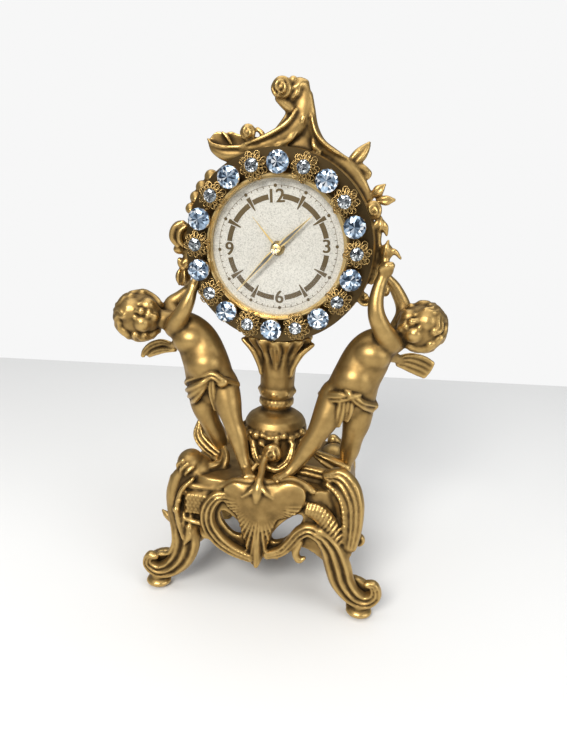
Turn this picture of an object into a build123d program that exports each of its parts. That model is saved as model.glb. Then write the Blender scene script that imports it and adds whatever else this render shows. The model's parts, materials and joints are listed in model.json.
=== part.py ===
from build123d import *
import math
import os

# A gilt cast table alarm clock: two winged children on a pierced scroll base hold up a round
# clock whose bezel is set with stones. All sizes are in millimetres. The origin is on the table
# under the middle of the clock, +X is to the viewer's right, +Y to the back and +Z up.

# Clock head: heights and depths, taken from the dial face backwards
AXIS_Z = 124.6
DIAL_FACE_Y = -11.0
DIAL_THICKNESS = 0.6
DIAL_RADIUS = 25.4
DIAL_HOLE_RADIUS = 2.4
LIP_THICKNESS = 0.8
LIP_INNER_RADIUS = 22.5
MOTION_SPACE = 4.0
PLATE_THICKNESS = 1.2
PLATE_RADIUS = 24.0
TRAIN_SPACE = 10.0
RATCHET_SPACE = 3.5
COVER_THICKNESS = 0.8
DRUM_RADIUS = 27.4
DRUM_WALL = 0.8

# Fits
RUNNING = 0.05
SNUG = 0.02
ENDSHAKE = 0.15
SEAT_GAP = 0.1

# Bezel, crystal and stones
BEZEL_INNER_RADIUS = 22.0
BEZEL_RADIUS = 31.3
BEZEL_LIP_WIDTH = 1.2
BEZEL_DEPTH = 3.6
BEZEL_WEB_THICKNESS = 1.2
BEZEL_SKIRT_WALL = 0.8
CRYSTAL_GROOVE_DEPTH = 0.7
CRYSTAL_THICKNESS = 1.2
CRYSTAL_DOME = 1.6
STONE_COUNT = 10
STONE_CIRCLE_RADIUS = 26.4
STONE_RADIUS = 3.55
STONE_TABLE_RADIUS = 2.0
STONE_CROWN = 1.2
STONE_PAVILION = 2.0
STONE_CULET_RADIUS = 0.5
STONE_SIDES = 10
CUP_WALL = 0.3
CUP_HEIGHT = 2.3
SETTING_POST_RADIUS = 2.4
SETTING_RISE = 3.2
SMALL_STONE_RADIUS = 2.2
SMALL_STONE_TABLE_RADIUS = 1.3
SMALL_STONE_CROWN = 0.8
SMALL_STONE_PAVILION = 1.0
FLORET_RADIUS = 3.0
FLORET_LOBE_RADIUS = 1.0
FLORET_LOBES = 8
FLORET_THICKNESS = 1.0
FLORET_CUP_HEIGHT = 1.4

# Surround casting and its crest
SURROUND_RADIUS = 32.0
SURROUND_FRONT_Y = -7.6
SURROUND_BACK_Y = 8.0
SURROUND_BULGE = 1.2
RETAINER_RADIUS = 30.8
RETAINER_THICKNESS = 1.4

# Pedestal stem
STEM_FLANGE_RADIUS = 13.0
STEM_FLANGE_HEIGHT = 2.0
DOME_RADIUS = 11.8
DOME_TOP_Z = 61.5
NECK_RADIUS = 4.6
BALL_RADIUS = 5.6
BALL_Z = 66.4
COLLAR_RADIUS = 6.3
COLLAR_Z = 70.7
SHAFT_RADIUS = 5.4
SHAFT_Z = 73.5
FLARE_MID_Z = 86.0
FLARE_MID_WIDTH = 17.0
FLARE_TOP_Z = 99.0
FLARE_TOP_WIDTH = 31.0
FLARE_DEPTH = 12.0
ROD_RADIUS = 1.6
ROD_REACH = 2.2
NUT_WIDTH = 6.0
NUT_HEIGHT = 2.6

# Base casting
DECK_Z = 44.0
DECK_WIDTH = 66.0
DECK_DEPTH = 46.0
WAIST_Z = 28.0
WAIST_WIDTH = 72.0
WAIST_DEPTH = 50.0
RIM_Z = 14.0
RIM_WIDTH = 62.0
RIM_DEPTH = 44.0
BASE_CORNER = 13.0
BASE_WALL = 2.4
DECK_THICKNESS = 3.0
ARCH_RADIUS = 9.0
FRONT_FOOT_X = 37.0
FRONT_FOOT_Y = -27.0
REAR_FOOT_X = 27.0
REAR_FOOT_Y = 27.0
VOLUTE_RADIUS = 6.2
VOLUTE_WIDTH = 8.0
VOLUTE_SINK = 0.6
PAD_RADIUS = 4.4
PAD_HEIGHT = 1.8
LEAF_THICKNESS = 2.4

# Movement wheels
MODULE_MAIN = 0.25
MODULE_THIRD = 0.20
MODULE_FOURTH = 0.18
MODULE_HOUR = 0.24
MODULE_ALARM = 0.30
CENTRE_TEETH = 64
THIRD_TEETH = 60
FOURTH_TEETH = 64
BARREL_TEETH = 72
ALARM_BARREL_TEETH = 60
MINUTE_TEETH = 36
HOUR_TEETH = 40
ALARM_TEETH = 44
ALARM_SET_TEETH = 22
CENTRE_LEAVES = 12
CANNON_LEAVES = 12
MINUTE_LEAVES = 10
TRAIN_LEAVES = 8
WHEEL_THICKNESS = 0.6
ARBOR_RADIUS = 0.6
PIVOT_RADIUS = 0.4
CENTRE_ARBOR_RADIUS = 0.75
PIPE_WALL = 0.4
HAND_THICKNESS = 0.3
HAND_LEVELS = 0.8
ESCAPE_TEETH = 15
ESCAPE_RADIUS = 3.6
ALARM_ESCAPE_RADIUS = 3.4
BALANCE_RADIUS = 5.2
WINDING_RADIUS = 1.4
RATCHET_TEETH = 18
RATCHET_RADIUS = 4.6
BARREL_WALL = 0.6
BARREL_LENGTH = 6.4
SPRING_THICKNESS = 0.35

# Hands, as lengths from the arbor and as angles round the dial from twelve
MINUTE_HAND_LENGTH = 19.4
MINUTE_HAND_ANGLE = 221.2
HOUR_HAND_LENGTH = 15.5
HOUR_HAND_ANGLE = 45.8
ALARM_HAND_LENGTH = 12.9
ALARM_HAND_ANGLE = 318.3

# Places of the arbors in the movement: distances follow the wheels, angles are chosen
GOING_BARREL_ANGLE = 200.0
ALARM_BARREL_ANGLE = 340.0
ALARM_BARREL_DISTANCE = 13.0
THIRD_ANGLE = 75.0
FOURTH_ANGLE = 160.0
ESCAPE_ANGLE = 60.0
PALLET_ANGLE = 20.0
PALLET_DISTANCE = 5.6
BALANCE_ANGLE = -30.0
BALANCE_DISTANCE = 7.0
MINUTE_WHEEL_ANGLE = 250.0
ALARM_SET_ANGLE = 25.0
ALARM_ESCAPE_ANGLE = 260.0
STOP_BUTTON_PLACE = (-12.0, 12.0)
HAMMER_PLACE = (2.8, -15.5)
HAMMER_HEAD_ANGLE = 250.0
PILLAR_ANGLES = (25.0, 140.0, 235.0, 300.0)
PILLAR_CIRCLE_RADIUS = 21.5
PILLAR_RADIUS = 1.5
POST_RADIUS = 0.8
SCREW_RADIUS = 0.7

# Depths worked out from the stack
dial_back_y = DIAL_FACE_Y + DIAL_THICKNESS
lip_back_y = dial_back_y + LIP_THICKNESS
front_plate_y = dial_back_y + MOTION_SPACE
train_front_y = front_plate_y + PLATE_THICKNESS
train_back_y = train_front_y + TRAIN_SPACE
ratchet_y = train_back_y + PLATE_THICKNESS
cover_y = ratchet_y + RATCHET_SPACE
back_y = cover_y + COVER_THICKNESS
drum_inner_radius = DRUM_RADIUS - DRUM_WALL
axis_y = Axis((0, 0, AXIS_Z), (0, 1, 0))


def polar(distance, angle, start=(0.0, 0.0)):
    """Point at a distance and angle from a start, in the plane of the dial."""
    turn = math.radians(angle)
    return (start[0] + distance * math.cos(turn), start[1] + distance * math.sin(turn))


def seat(centre, y):
    """Plane that faces the front at depth y, centred on an arbor."""
    return Plane(origin=(centre[0], y, AXIS_Z + centre[1]), x_dir=(1, 0, 0), z_dir=(0, -1, 0))


def disc(centre, radius, front, back, mode=Mode.ADD):
    """A round piece along Y, from its front depth to its back depth."""
    with BuildSketch(seat(centre, back)) as outline:
        Circle(radius)
    extrude(outline.sketch, amount=back - front, mode=mode)


def turned(corners, centre=(0.0, 0.0), mode=Mode.ADD):
    """A piece turned about an arbor, from (radius, depth) corners."""
    x, z = centre[0], AXIS_Z + centre[1]
    with BuildSketch(Plane(origin=(x, 0, z), x_dir=(1, 0, 0), z_dir=(0, 0, 1))) as profile:
        with BuildLine():
            Polyline(*corners, close=True)
        make_face()
    revolve(profile.sketch, axis=Axis((x, 0, z), (0, 1, 0)), mode=mode)


def tooth_corners(teeth, module, phase, leaf):
    """Corners of a toothed outline, four to a tooth; leaves are deeper and thinner than wheel teeth."""
    rise, drop, root_share, tip_share = (0.35, 1.25, 0.155, 0.09) if leaf else (0.9, 1.1, 0.25, 0.1)
    pitch = 360.0 / teeth
    tip = (teeth / 2 + rise) * module
    root = (teeth / 2 - drop) * module
    corners = []
    for tooth in range(teeth):
        middle = phase + pitch * tooth
        corners.append(polar(root, middle - root_share * pitch))
        corners.append(polar(tip, middle - tip_share * pitch))
        corners.append(polar(tip, middle + tip_share * pitch))
        corners.append(polar(root, middle + root_share * pitch))
    return corners


def toothed(centre, teeth, module, phase, front, back, leaf=False):
    """A wheel or pinion blank with its teeth."""
    with BuildSketch(seat(centre, back)) as outline:
        with BuildLine():
            Polyline(*tooth_corners(teeth, module, phase, leaf), close=True)
        make_face()
    extrude(outline.sketch, amount=back - front)


def meshing(phase, teeth, other_teeth, angle):
    """Phase of a wheel that meshes with one at the given phase, lying at an angle from it."""
    pitch = 360.0 / teeth
    offset = -((angle - phase) % pitch)
    return angle + 180 - offset * teeth / other_teeth - 180.0 / other_teeth


def crossings(centre, inner, outer, count, front, back):
    """Round windows that leave arms in a wheel."""
    middle = (inner + outer) / 2
    with BuildSketch(seat(centre, back)) as windows:
        with PolarLocations(middle, count):
            Circle((outer - inner) / 2 * 0.8)
    extrude(windows.sketch, amount=back - front, mode=Mode.SUBTRACT)


def arbor(centre, front=train_front_y, back=train_back_y, radius=ARBOR_RADIUS):
    """An arbor between the plates, with a pivot in each."""
    disc(centre, radius, front + ENDSHAKE, back - ENDSHAKE)
    disc(centre, PIVOT_RADIUS, front - PLATE_THICKNESS, back + PLATE_THICKNESS)


def spiral(centre, inner, outer, turns, thickness, front, back):
    """A flat coiled spring: one strip wound from its inner to its outer radius."""
    steps = 16 * turns
    near, far = [], []
    for step in range(steps + 1):
        radius = inner + (outer - inner - thickness) * step / steps
        near.append(polar(radius, 360.0 * turns * step / steps))
        far.append(polar(radius + thickness, 360.0 * turns * step / steps))
    with BuildSketch(seat(centre, back)) as strip:
        with BuildLine():
            Polyline(*near, *reversed(far), close=True)
        make_face()
    extrude(strip.sketch, amount=back - front)


def limb(points, radii):
    """A rounded member lofted through circles square to its line, with rounded ends."""
    last = len(points) - 1
    sections = []
    for index, (point, radius) in enumerate(zip(points, radii)):
        run = Vector(*points[min(index + 1, last)]) - Vector(*points[max(index - 1, 0)])
        side = run.cross(Vector(0, 1, 0))
        with BuildSketch(Plane(origin=point, x_dir=side, z_dir=run)) as section:
            Circle(radius)
        sections.append(section.sketch.face())
    loft(sections)
    for end in (0, last):
        with Locations(points[end]):
            Sphere(radii[end] * 1.01, rotation=(35, 20 + 25 * end, 0))


def bead(centre, radius, seam=(0, 0, 0)):
    """A loose sphere, its seam turned clear of its neighbours'."""
    return Pos(*centre) * Sphere(radius, rotation=seam, mode=Mode.PRIVATE)


def seam_turn(index, turned):
    """Seam of a sphere by its place in a row, or none where the row is left unturned."""
    if not turned:
        return (0, 0, 0)
    return (SEAM_TILT + SEAM_TILT_STEP * index, SEAM_SWING + SEAM_SWING_STEP * index, 0)


def chain(points, radii, turned):
    """Loose pieces of a rounded member: tapers between round joints."""
    pieces = []
    for index, (point, radius) in enumerate(zip(points, radii)):
        pieces.append(bead(point, radius, seam_turn(index, turned)))
    for start, end, wide, narrow in zip(points, points[1:], radii, radii[1:]):
        run = Vector(*end) - Vector(*start)
        taper = Cone(
            wide * TAPER_START,
            narrow * TAPER_END,
            run.length,
            align=(Align.CENTER, Align.CENTER, Align.MIN),
            mode=Mode.PRIVATE,
        )
        pieces.append(Plane(origin=start, z_dir=run).location * taper)
    return pieces


def leaf(root, tip, width, thickness, facing=(0, -1, 0), mode=Mode.ADD):
    """A pointed leaf from its root to its tip, swollen in the middle, with its face turned forward."""
    start, end = Vector(*root), Vector(*tip)
    run = end - start
    side = run.cross(Vector(*facing))
    sections = []
    for share, size in ((0.0, 0.45), (0.4, 1.0), (0.75, 0.7), (1.0, 0.12)):
        with BuildSketch(Plane(origin=start + run * share, x_dir=side, z_dir=run)) as section:
            Ellipse(width / 2 * size, thickness / 2 * (0.4 + 0.6 * size))
        sections.append(section.sketch.face())
    return loft(sections, mode=mode)


def rose(centre, facing, radius):
    """A rose: a flared cup of petals, an inner whorl and a bud."""
    with Locations(Plane(origin=centre, z_dir=facing).location):
        Cone(radius * 0.55, radius, radius * 0.7)
        with Locations((0, 0, radius * 0.35)):
            Cylinder(radius * 0.72, radius * 0.16, align=(Align.CENTER, Align.CENTER, Align.MIN))
        with Locations((0, 0, radius * 0.42)):
            Sphere(radius * 0.45)


def keep(piece, name):
    """Label a finished piece and write it."""
    piece.part.label = name
    export_step(piece.part, f"parts/{name}.step")


os.makedirs("parts", exist_ok=True)

# Arbor places
centre_place = (0.0, 0.0)
going_place = polar((BARREL_TEETH + CENTRE_LEAVES) * MODULE_MAIN / 2, GOING_BARREL_ANGLE)
alarm_barrel_place = polar(ALARM_BARREL_DISTANCE, ALARM_BARREL_ANGLE)
third_place = polar((CENTRE_TEETH + TRAIN_LEAVES) * MODULE_MAIN / 2, THIRD_ANGLE)
fourth_place = polar((THIRD_TEETH + TRAIN_LEAVES) * MODULE_THIRD / 2, FOURTH_ANGLE, third_place)
escape_place = polar((FOURTH_TEETH + TRAIN_LEAVES) * MODULE_FOURTH / 2, ESCAPE_ANGLE, fourth_place)
pallet_place = polar(PALLET_DISTANCE, PALLET_ANGLE, escape_place)
balance_place = polar(BALANCE_DISTANCE, BALANCE_ANGLE, pallet_place)
minute_place = polar((MINUTE_TEETH + CANNON_LEAVES) * MODULE_MAIN / 2, MINUTE_WHEEL_ANGLE)
alarm_set_place = polar((ALARM_TEETH + ALARM_SET_TEETH) * MODULE_ALARM / 2, ALARM_SET_ANGLE)
alarm_escape_place = polar(
    (ALARM_BARREL_TEETH + TRAIN_LEAVES) * MODULE_MAIN / 2, ALARM_ESCAPE_ANGLE, alarm_barrel_place
)
pillar_places = [polar(PILLAR_CIRCLE_RADIUS, angle) for angle in PILLAR_ANGLES]
train_places = (third_place, fourth_place, escape_place, pallet_place, balance_place, alarm_escape_place)
winding_places = (going_place, alarm_barrel_place)

# Tooth phases, each train counted from its first wheel
centre_phase = 0.0
going_phase = meshing(centre_phase, CENTRE_LEAVES, BARREL_TEETH, GOING_BARREL_ANGLE)
third_phase = meshing(centre_phase, CENTRE_TEETH, TRAIN_LEAVES, THIRD_ANGLE)
fourth_phase = meshing(third_phase, THIRD_TEETH, TRAIN_LEAVES, FOURTH_ANGLE)
escape_phase = meshing(fourth_phase, FOURTH_TEETH, TRAIN_LEAVES, ESCAPE_ANGLE)
minute_phase = meshing(centre_phase, CANNON_LEAVES, MINUTE_TEETH, MINUTE_WHEEL_ANGLE)
hour_phase = meshing(minute_phase, MINUTE_LEAVES, HOUR_TEETH, MINUTE_WHEEL_ANGLE + 180)
alarm_set_phase = 0.0
alarm_phase = meshing(alarm_set_phase, ALARM_SET_TEETH, ALARM_TEETH, ALARM_SET_ANGLE + 180)
alarm_escape_phase = meshing(0.0, ALARM_BARREL_TEETH, TRAIN_LEAVES, ALARM_ESCAPE_ANGLE)

# Drum: a tube with an inward lip at the front that carries the dial and the movement
DIAL_FOOT_RADIUS = 0.5
DIAL_FOOT_ANGLES = (60.0, 240.0)
dial_foot_circle = (LIP_INNER_RADIUS + DIAL_RADIUS) / 2
dial_foot_places = [polar(dial_foot_circle, angle) for angle in DIAL_FOOT_ANGLES]
with BuildPart() as clock_drum:
    turned(
        (
            (DRUM_RADIUS, dial_back_y),
            (DRUM_RADIUS, back_y),
            (drum_inner_radius, back_y),
            (drum_inner_radius, lip_back_y),
            (LIP_INNER_RADIUS, lip_back_y),
            (LIP_INNER_RADIUS, dial_back_y),
        )
    )
    for place in dial_foot_places:
        disc(place, DIAL_FOOT_RADIUS + RUNNING, dial_back_y, lip_back_y, Mode.SUBTRACT)
keep(clock_drum, "clock_drum")

# Dial plate with two feet that sit in the drum's lip
with BuildPart() as dial_plate:
    disc(centre_place, DIAL_RADIUS, DIAL_FACE_Y, dial_back_y)
    for place in dial_foot_places:
        disc(place, DIAL_FOOT_RADIUS, dial_back_y, lip_back_y)
    disc(centre_place, DIAL_HOLE_RADIUS, DIAL_FACE_Y, dial_back_y, Mode.SUBTRACT)
keep(dial_plate, "dial_plate")

# Bezel: an inner lip that holds the crystal, a web for the stones, an outer rim and a skirt on the drum
bezel_front_y = DIAL_FACE_Y - BEZEL_DEPTH
web_back_y = dial_back_y
web_front_y = web_back_y - BEZEL_WEB_THICKNESS
groove_back_y = bezel_front_y + CRYSTAL_THICKNESS + SEAT_GAP
lip_outer_radius = BEZEL_INNER_RADIUS + BEZEL_LIP_WIDTH
skirt_radius = DRUM_RADIUS + RUNNING
with BuildPart() as bezel_ring:
    turned(
        (
            (BEZEL_INNER_RADIUS, DIAL_FACE_Y - SEAT_GAP),
            (BEZEL_INNER_RADIUS, bezel_front_y),
            (lip_outer_radius, bezel_front_y),
            (lip_outer_radius, web_front_y),
            (BEZEL_RADIUS, web_front_y),
            (BEZEL_RADIUS, web_back_y + BEZEL_WEB_THICKNESS),
            (skirt_radius + BEZEL_SKIRT_WALL, web_back_y + BEZEL_WEB_THICKNESS),
            (skirt_radius + BEZEL_SKIRT_WALL, SURROUND_FRONT_Y),
            (skirt_radius, SURROUND_FRONT_Y),
            (skirt_radius, web_back_y - SEAT_GAP),
            (DIAL_RADIUS + SEAT_GAP, web_back_y - SEAT_GAP),
            (DIAL_RADIUS + SEAT_GAP, DIAL_FACE_Y - SEAT_GAP),
        )
    )
    turned(
        (
            (BEZEL_INNER_RADIUS - 1, bezel_front_y - 1),
            (BEZEL_INNER_RADIUS + CRYSTAL_GROOVE_DEPTH, bezel_front_y - 1),
            (BEZEL_INNER_RADIUS + CRYSTAL_GROOVE_DEPTH, groove_back_y),
            (BEZEL_INNER_RADIUS - 1, groove_back_y),
        ),
        mode=Mode.SUBTRACT,
    )
keep(bezel_ring, "bezel_ring")

# Crystal: a domed glass that drops into the bezel's groove
crystal_radius = BEZEL_INNER_RADIUS + CRYSTAL_GROOVE_DEPTH - RUNNING
crystal_back_y = groove_back_y - SNUG
crystal_edge_y = crystal_back_y - CRYSTAL_THICKNESS
dome_radius = (crystal_radius**2 + CRYSTAL_DOME**2) / (2 * CRYSTAL_DOME)
half_way_dome = CRYSTAL_DOME - dome_radius + math.sqrt(dome_radius**2 - crystal_radius**2 / 4)
with BuildPart() as crystal:
    with BuildSketch(Plane.XY.offset(AXIS_Z)):
        with BuildLine():
            front = ThreePointArc(
                (crystal_radius, crystal_edge_y),
                (crystal_radius / 2, crystal_edge_y - half_way_dome),
                (0, crystal_edge_y - CRYSTAL_DOME),
            )
            middle = Line(front @ 1, (0, crystal_back_y - CRYSTAL_DOME))
            rear = ThreePointArc(
                middle @ 1,
                (crystal_radius / 2, crystal_back_y - half_way_dome),
                (crystal_radius, crystal_back_y),
            )
            Line(rear @ 1, front @ 0)
        make_face()
    revolve(axis=axis_y)
keep(crystal, "crystal")


# Stones and their settings: large stones in plain cups alternate with small ones in florets, all on short posts
def bezel_places(first):
    """Places round the bezel, from a first angle counted from the top."""
    step = 360.0 / STONE_COUNT
    return [polar(STONE_CIRCLE_RADIUS, 90 - first - step * index) for index in range(STONE_COUNT)]


def brilliant(centre, girdle_y, radius, table, crown, pavilion):
    """A faceted stone: a flat table, a crown, a girdle and a pavilion that ends in a small culet."""
    sections = []
    for y, size in ((girdle_y - crown, table), (girdle_y, radius), (girdle_y + pavilion, STONE_CULET_RADIUS)):
        with BuildSketch(seat(centre, y)) as section:
            RegularPolygon(size, STONE_SIDES)
        sections.append(section.sketch.face())
    loft(sections, ruled=True)


large_places = bezel_places(0.0)
small_places = bezel_places(180.0 / STONE_COUNT)
setting_back_y = web_front_y - SETTING_RISE
cup_front_y = setting_back_y - CUP_HEIGHT
cup_bore_radius = STONE_RADIUS - CUP_WALL
girdle_y = cup_front_y
with BuildPart() as stone_cups:
    for place in large_places:
        disc(place, STONE_RADIUS + SNUG, cup_front_y, setting_back_y)
        disc(place, SETTING_POST_RADIUS, setting_back_y, web_front_y)
        disc(place, cup_bore_radius, cup_front_y, setting_back_y - CUP_WALL, Mode.SUBTRACT)
keep(stone_cups, "stone_cups")

stone_seat = STONE_PAVILION * (STONE_RADIUS - cup_bore_radius) / (STONE_RADIUS - STONE_CULET_RADIUS)
with BuildPart() as large_stones:
    for place in large_places:
        brilliant(
            place, girdle_y - stone_seat - SNUG, STONE_RADIUS, STONE_TABLE_RADIUS, STONE_CROWN,
            min(STONE_PAVILION, CUP_HEIGHT - CUP_WALL),
        )
keep(large_stones, "large_stones")

floret_front_y = setting_back_y - FLORET_THICKNESS
floret_cup_y = floret_front_y - FLORET_CUP_HEIGHT
small_bore_radius = SMALL_STONE_RADIUS - CUP_WALL
with BuildPart() as floret_settings:
    for place in small_places:
        with BuildSketch(seat(place, setting_back_y)):
            Circle(FLORET_RADIUS)
            with PolarLocations(FLORET_RADIUS, FLORET_LOBES):
                Circle(FLORET_LOBE_RADIUS)
        extrude(amount=FLORET_THICKNESS)
        disc(place, SETTING_POST_RADIUS, setting_back_y, web_front_y)
        disc(place, SMALL_STONE_RADIUS + CUP_WALL / 2, floret_cup_y, floret_front_y)
        disc(place, small_bore_radius, floret_cup_y, floret_front_y - CUP_WALL, Mode.SUBTRACT)
keep(floret_settings, "floret_settings")

small_seat = SMALL_STONE_PAVILION * CUP_WALL / (SMALL_STONE_RADIUS - STONE_CULET_RADIUS)
with BuildPart() as small_stones:
    for place in small_places:
        brilliant(
            place, floret_cup_y - small_seat - SNUG, SMALL_STONE_RADIUS, SMALL_STONE_TABLE_RADIUS,
            SMALL_STONE_CROWN, SMALL_STONE_PAVILION,
        )
keep(small_stones, "small_stones")

# Movement plates, pillars and posts
REGULATOR_SLEEVE_RADIUS = 1.6
STOP_ROD_RADIUS = 1.2
ALARM_ARBOR_RADIUS = 0.8
POST_ANGLES = (80.0, 200.0, 320.0)
COVER_POST_ANGLES = (85.0, 180.0, 300.0)
COVER_POST_CIRCLE_RADIUS = 21.5
post_circle = (LIP_INNER_RADIUS + PLATE_RADIUS) / 2
post_places = [polar(post_circle, angle) for angle in POST_ANGLES]
cover_post_places = [polar(COVER_POST_CIRCLE_RADIUS, angle) for angle in COVER_POST_ANGLES]


def plate(y):
    """A movement plate with the holes that both plates share."""
    disc(centre_place, PLATE_RADIUS, y, y + PLATE_THICKNESS)
    disc(centre_place, CENTRE_ARBOR_RADIUS + RUNNING, y, y + PLATE_THICKNESS, Mode.SUBTRACT)
    for place in (*train_places, HAMMER_PLACE):
        disc(place, PIVOT_RADIUS + RUNNING, y, y + PLATE_THICKNESS, Mode.SUBTRACT)
    for place in winding_places:
        disc(place, WINDING_RADIUS + RUNNING, y, y + PLATE_THICKNESS, Mode.SUBTRACT)
    disc(alarm_set_place, ALARM_ARBOR_RADIUS + RUNNING, y, y + PLATE_THICKNESS, Mode.SUBTRACT)


with BuildPart() as front_plate:
    plate(front_plate_y)
    disc(minute_place, ARBOR_RADIUS, front_plate_y - MOTION_SPACE * 0.7, front_plate_y)
keep(front_plate, "front_plate")

with BuildPart() as back_plate:
    plate(train_back_y)
    disc(STOP_BUTTON_PLACE, STOP_ROD_RADIUS + RUNNING, train_back_y, ratchet_y, Mode.SUBTRACT)
    disc(balance_place, REGULATOR_SLEEVE_RADIUS, ratchet_y, ratchet_y + PLATE_THICKNESS)
    disc(balance_place, PIVOT_RADIUS + RUNNING, train_back_y, ratchet_y + PLATE_THICKNESS, Mode.SUBTRACT)
keep(back_plate, "back_plate")

with BuildPart() as plate_pillars:
    for place in pillar_places:
        disc(place, PILLAR_RADIUS, train_front_y, train_back_y)
keep(plate_pillars, "plate_pillars")

with BuildPart() as movement_posts:
    for place in post_places:
        disc(place, POST_RADIUS, lip_back_y, front_plate_y)
keep(movement_posts, "movement_posts")

with BuildPart() as cover_posts:
    for place in cover_post_places:
        disc(place, PILLAR_RADIUS, ratchet_y, cover_y)
        disc(place, SCREW_RADIUS + SNUG, cover_y - RATCHET_SPACE * 0.7, cover_y, Mode.SUBTRACT)
keep(cover_posts, "cover_posts")

# Going train: centre wheel and arbor, third, fourth and escape wheels
KNOB_ARBOR_END_Y = 14.0
centre_wheel_back_y = train_back_y - WHEEL_THICKNESS
centre_wheel_front_y = centre_wheel_back_y - WHEEL_THICKNESS
barrel_front_y = train_front_y + 1.2
barrel_teeth_back_y = barrel_front_y + 1.0
minute_hand_y = DIAL_FACE_Y - HAND_LEVELS * 3
hour_hand_y = DIAL_FACE_Y - HAND_LEVELS * 2
alarm_hand_y = DIAL_FACE_Y - HAND_LEVELS
centre_radius = CENTRE_TEETH * MODULE_MAIN / 2
with BuildPart() as centre_wheel:
    toothed(
        centre_place, CENTRE_TEETH, MODULE_MAIN, centre_phase, centre_wheel_front_y, centre_wheel_back_y
    )
    crossings(centre_place, 2.0, centre_radius - 1.2, 4, centre_wheel_front_y, centre_wheel_back_y)
    toothed(
        centre_place, CENTRE_LEAVES, MODULE_MAIN, centre_phase,
        train_front_y + ENDSHAKE, barrel_teeth_back_y + 1.0, leaf=True,
    )
    disc(centre_place, CENTRE_ARBOR_RADIUS, minute_hand_y - HAND_THICKNESS, KNOB_ARBOR_END_Y)
keep(centre_wheel, "centre_wheel")

third_front_y = train_front_y + 5.8
third_back_y = third_front_y + WHEEL_THICKNESS
third_radius = THIRD_TEETH * MODULE_THIRD / 2
with BuildPart() as third_wheel:
    arbor(third_place)
    toothed(
        third_place, TRAIN_LEAVES, MODULE_MAIN, third_phase,
        centre_wheel_front_y - 0.2, centre_wheel_back_y + 0.2, leaf=True,
    )
    toothed(third_place, THIRD_TEETH, MODULE_THIRD, third_phase, third_front_y, third_back_y)
    crossings(third_place, 1.4, third_radius - 0.9, 4, third_front_y, third_back_y)
keep(third_wheel, "third_wheel")

fourth_front_y = train_front_y + 3.0
fourth_back_y = fourth_front_y + WHEEL_THICKNESS
fourth_radius = FOURTH_TEETH * MODULE_FOURTH / 2
with BuildPart() as fourth_wheel:
    arbor(fourth_place, radius=PIVOT_RADIUS + RUNNING)
    toothed(
        fourth_place, TRAIN_LEAVES, MODULE_THIRD, fourth_phase, third_front_y - 0.2, third_back_y + 0.2,
        leaf=True,
    )
    toothed(fourth_place, FOURTH_TEETH, MODULE_FOURTH, fourth_phase, fourth_front_y, fourth_back_y)
    crossings(fourth_place, 1.2, fourth_radius - 0.9, 4, fourth_front_y, fourth_back_y)
keep(fourth_wheel, "fourth_wheel")


def club_wheel(centre, radius, phase, front, back):
    """An escape wheel with leaning pointed teeth."""
    pitch = 360.0 / ESCAPE_TEETH
    corners = []
    for tooth in range(ESCAPE_TEETH):
        start = phase + pitch * tooth
        corners.append(polar(radius * 0.74, start - pitch * 0.25))
        corners.append(polar(radius, start))
        corners.append(polar(radius, start + pitch * 0.1))
        corners.append(polar(radius * 0.74, start + pitch * 0.45))
    with BuildSketch(seat(centre, back)) as outline:
        with BuildLine():
            Polyline(*corners, close=True)
        make_face()
    extrude(outline.sketch, amount=back - front)


escape_front_y = third_back_y + 0.4
escape_back_y = escape_front_y + WHEEL_THICKNESS
with BuildPart() as escape_wheel:
    arbor(escape_place, radius=PIVOT_RADIUS + RUNNING)
    toothed(
        escape_place, TRAIN_LEAVES, MODULE_FOURTH, escape_phase, fourth_front_y - 0.2, fourth_back_y + 0.2,
        leaf=True,
    )
    club_wheel(escape_place, ESCAPE_RADIUS, 0.0, escape_front_y, escape_back_y)
keep(escape_wheel, "escape_wheel")

# Pallet fork: two pins beside the escape wheel and a slotted lever towards the balance
PALLET_PIN_RADIUS = 0.2
PALLET_PIN_CIRCLE = 4.25
PALLET_PIN_SPREAD = 38.0
FORK_LENGTH = 4.6
FORK_WIDTH = 1.4
pallet_front_y = escape_back_y + 0.4
pallet_back_y = pallet_front_y + WHEEL_THICKNESS
pallet_pins = [
    polar(PALLET_PIN_CIRCLE, PALLET_ANGLE + side * PALLET_PIN_SPREAD, escape_place) for side in (-1, 1)
]


def bar(start, end, width, front, back, mode=Mode.ADD):
    """A flat lever between two places, round at both ends."""
    length = math.dist(start, end)
    angle = math.degrees(math.atan2(end[1] - start[1], end[0] - start[0]))
    with BuildSketch(seat(start, back)) as lever:
        with Locations(Location(polar(length / 2, angle), angle)):
            SlotCenterToCenter(length, width)
    extrude(lever.sketch, amount=back - front, mode=mode)


fork_tip = polar(FORK_LENGTH, BALANCE_ANGLE, pallet_place)
with BuildPart() as pallet_fork:
    arbor(pallet_place)
    for pin in pallet_pins:
        bar(pallet_place, pin, FORK_WIDTH, pallet_front_y, pallet_back_y)
        disc(pin, PALLET_PIN_RADIUS, escape_front_y - 0.2, pallet_back_y)
    bar(pallet_place, fork_tip, FORK_WIDTH, pallet_front_y, pallet_back_y)
    disc(fork_tip, FORK_WIDTH * 0.28, pallet_front_y, pallet_back_y, Mode.SUBTRACT)
keep(pallet_fork, "pallet_fork")

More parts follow.
